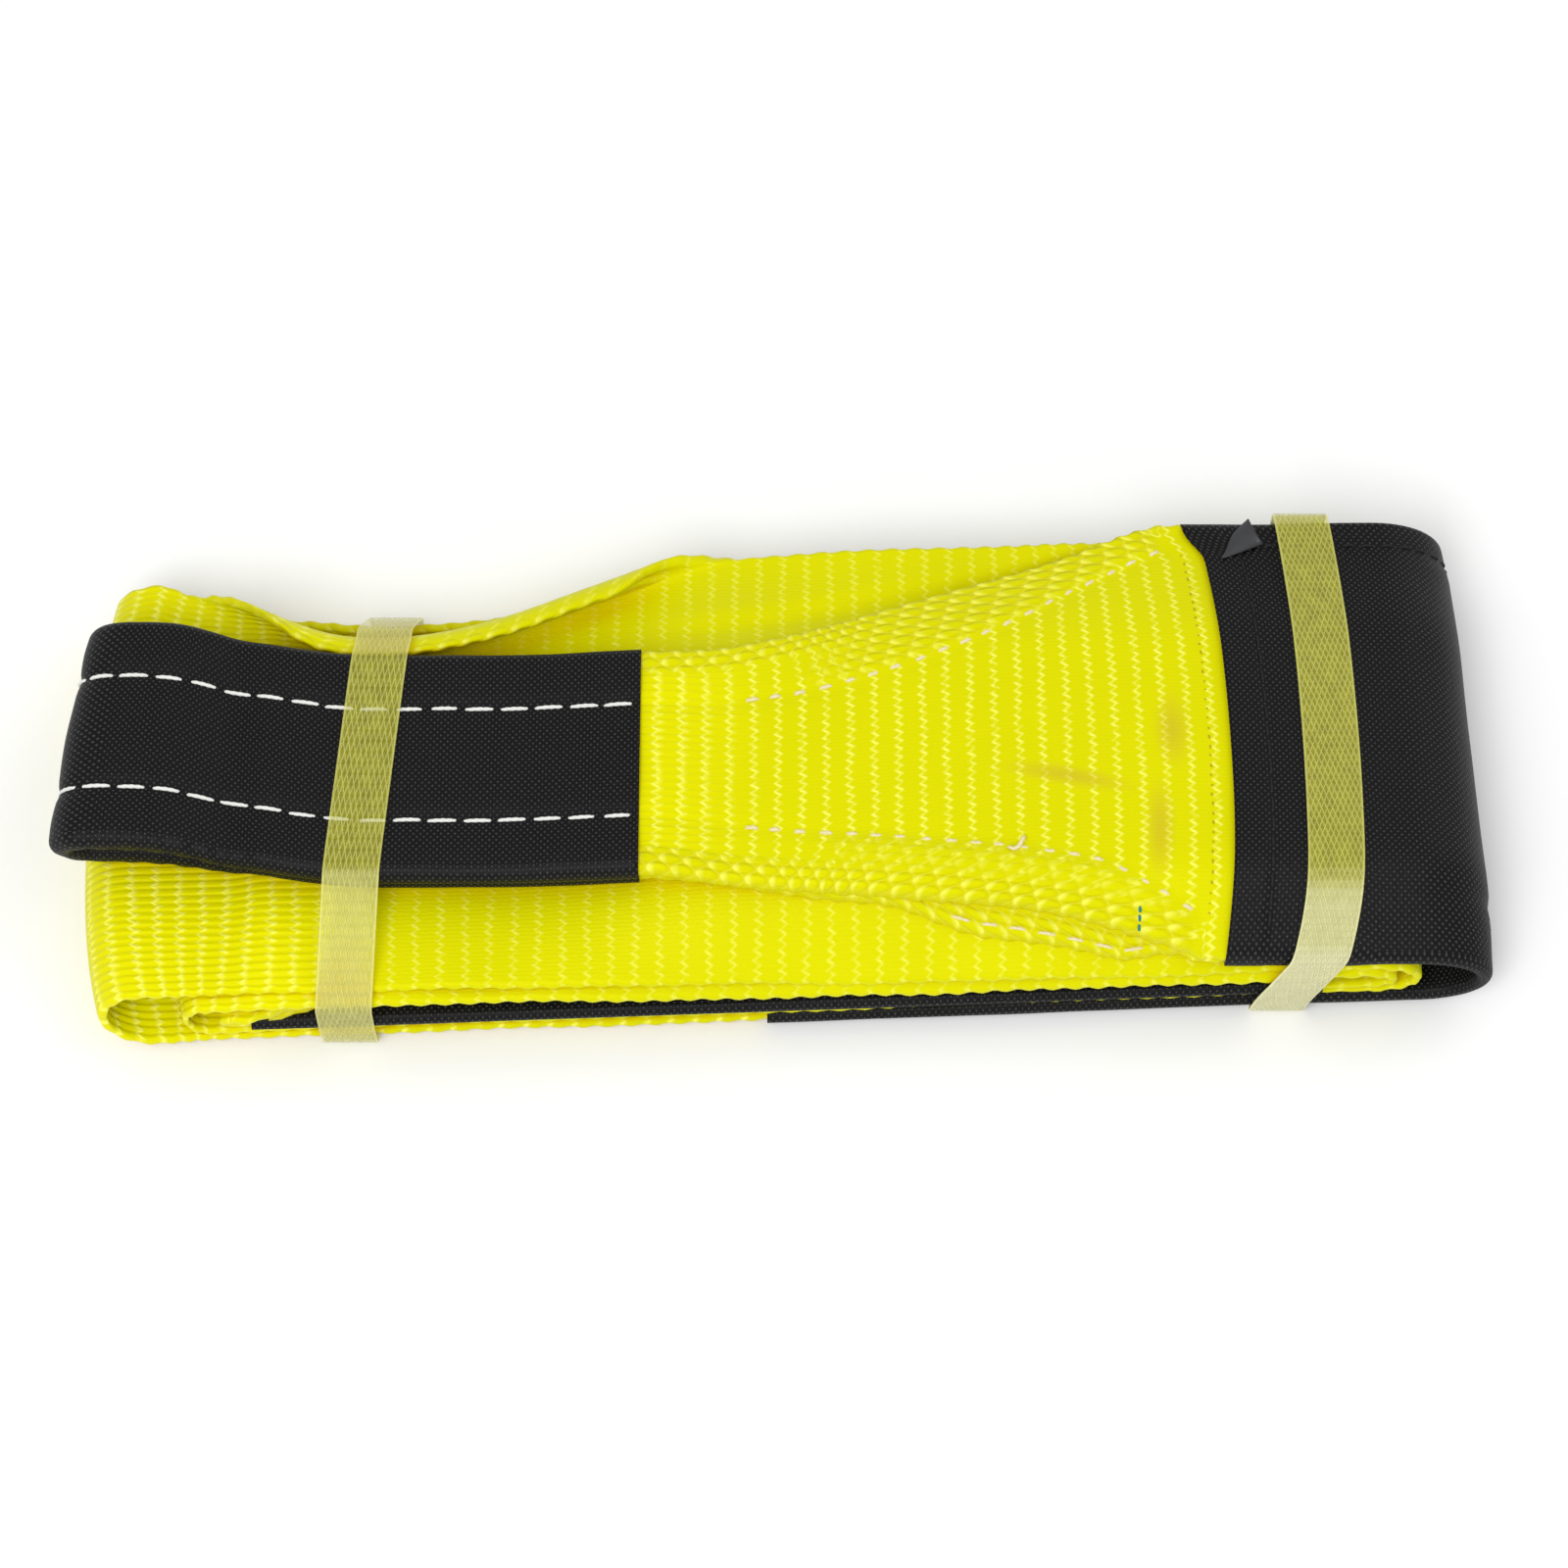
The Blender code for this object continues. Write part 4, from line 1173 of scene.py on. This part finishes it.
# Painted shade: dark golden dots for the front bar's needle holes, which lie in shade
hole = thread_look("needle_hole_shade", (0.54, 0.46, 0.0), (0.36, 0.28, 0.0), 0.8)
teal = thread_look("tracer_yarn", (0.02, 0.30, 0.26), (0.01, 0.12, 0.12), 0.6)
coated = coated_look()
coarse_band = band_look("coarse_embossed_strapping", 5.0, 0.32)
fine_band = band_look("fine_embossed_strapping", 2.9, 1.0)

Sewing = namedtuple("Sewing", "look slot pitch dash radius sink", defaults=(0.0,))
EYE_SEWING = Sewing(white, "seam_thread", 7.4, 6.2, 0.46)
SUNK_SEWING = Sewing(worn_white, "seam_thread", 5.4, 2.7, 0.50, 0.24)
FRONT_BAR_SEWING = Sewing(hole, "seam_thread", 2.2, 0.8, 0.2)
DARK_SEWING = Sewing(dark, "dark_thread", 4.2, 3.2, 0.34)
TAIL_SEWING = Sewing(worn_white, "seam_thread", 6.0, 4.0, 0.4)
REAR_BAR_SEWING = Sewing(worn_white, "seam_thread", 3.6, 2.8, 0.28)
FAR_EDGE_SEWING = Sewing(worn_white, "seam_thread", 5.2, 2.4, 0.42)
THREAD_END = Sewing(worn_white, "seam_thread", 8.0, 5.0, 0.5)
TRACER = Sewing(teal, "seam_thread", 1.9, 1.4, 0.34)

add_webbing(webbing, webbing_s, yellow)
add_sleeve("front_eye_cover", "front_eye_sleeve", front_eye_route(), eye_reach, eye_relief, black)
add_sleeve("rear_eye_cover", "rear_eye_sleeve", rear_eye_route(), eye_reach, eye_relief, black)
add_sleeve("outer_wear_cover", "outer_wear_sleeve", outer_sleeve_route(), wear_reach, outer_relief, black)
add_sleeve("inner_wear_cover", "inner_wear_sleeve", inner_sleeve_route(), wear_reach, inner_relief, black)
add_eye_seams(EYE_SEWING, SUNK_SEWING)
add_bar("front_bar", FRONT_UPPER, 92.5, WEB_THICK / 2, np.linspace(-43.0, 43.0, 60), FRONT_BAR_SEWING, 11)
add_wear_sleeve_seams(DARK_SEWING)
add_tail_seams(TAIL_SEWING)
add_bar("rear_bar", REAR_UPPER, -104.0, fan_thick(rear_share(-104.0)) / 2, np.linspace(-42.0, 42.0, 40),
        REAR_BAR_SEWING, 31)
add_far_edge_stitches(FAR_EDGE_SEWING)
add_thread_end(THREAD_END)
add_tracer(TRACER)
add_turned_corner(coated)
add_band("left_strapping", "left_band", left_band_x, coarse_band)
add_band("right_strapping", "right_band", right_band_x, fine_band)


# Stage, light and camera

def add_floor():
    mesh = bpy.data.meshes.new("floor")
    mesh.from_pydata([(-3, -3, 0), (3, -3, 0), (3, 3, 0), (-3, 3, 0)], [], [(0, 1, 2, 3)])
    look = Look("pale_floor")
    grain = look.noise(look.object_place(), 30.0)
    look.feed("Base Color", look.colour(grain, (0.93, 0.93, 0.93), (0.96, 0.96, 0.96)))
    look.set(Roughness=0.9, Specular_IOR_Level=0.1)
    mesh.materials.append(look.material)
    floor = bpy.data.objects.new("floor", mesh)
    floor.location.z = -0.0002
    bpy.context.scene.collection.objects.link(floor)


def add_light(name, place, size, power):
    """A square light aimed at the origin."""
    data = bpy.data.lights.new(name, "AREA")
    data.shape = "RECTANGLE"
    data.size = size
    data.size_y = size
    data.energy = power
    lamp = bpy.data.objects.new(name, data)
    lamp.location = place
    lamp.rotation_euler = (-Vector(place)).to_track_quat("-Z", "Y").to_euler()
    bpy.context.scene.collection.objects.link(lamp)


def add_world():
    world = bpy.data.worlds.new("pale")
    world.use_nodes = True
    background = world.node_tree.nodes["Background"]
    background.inputs["Color"].default_value = (1.0, 1.0, 1.0, 1.0)
    background.inputs["Strength"].default_value = 0.66
    bpy.context.scene.world = world
    bpy.context.scene.view_settings.view_transform = "Standard"


def add_camera():
    data = bpy.data.cameras.new("camera")
    data.lens = 100.0
    data.sensor_width = 36.0
    camera = bpy.data.objects.new("camera", data)
    elevation = math.radians(66.5)
    aim = Vector((0.00095, -0.00169, 0.016))
    back = Vector((0.0, -math.cos(elevation), math.sin(elevation)))
    camera.location = aim + back * 0.945
    camera.rotation_euler = back.to_track_quat("Z", "Y").to_euler()
    bpy.context.scene.collection.objects.link(camera)
    bpy.context.scene.camera = camera


add_floor()
add_light("key", (-0.3, -0.7, 1.2), 0.7, 10.5)
add_light("fill", (0.9, 0.5, 1.0), 1.1, 3.0)
add_world()
add_camera()
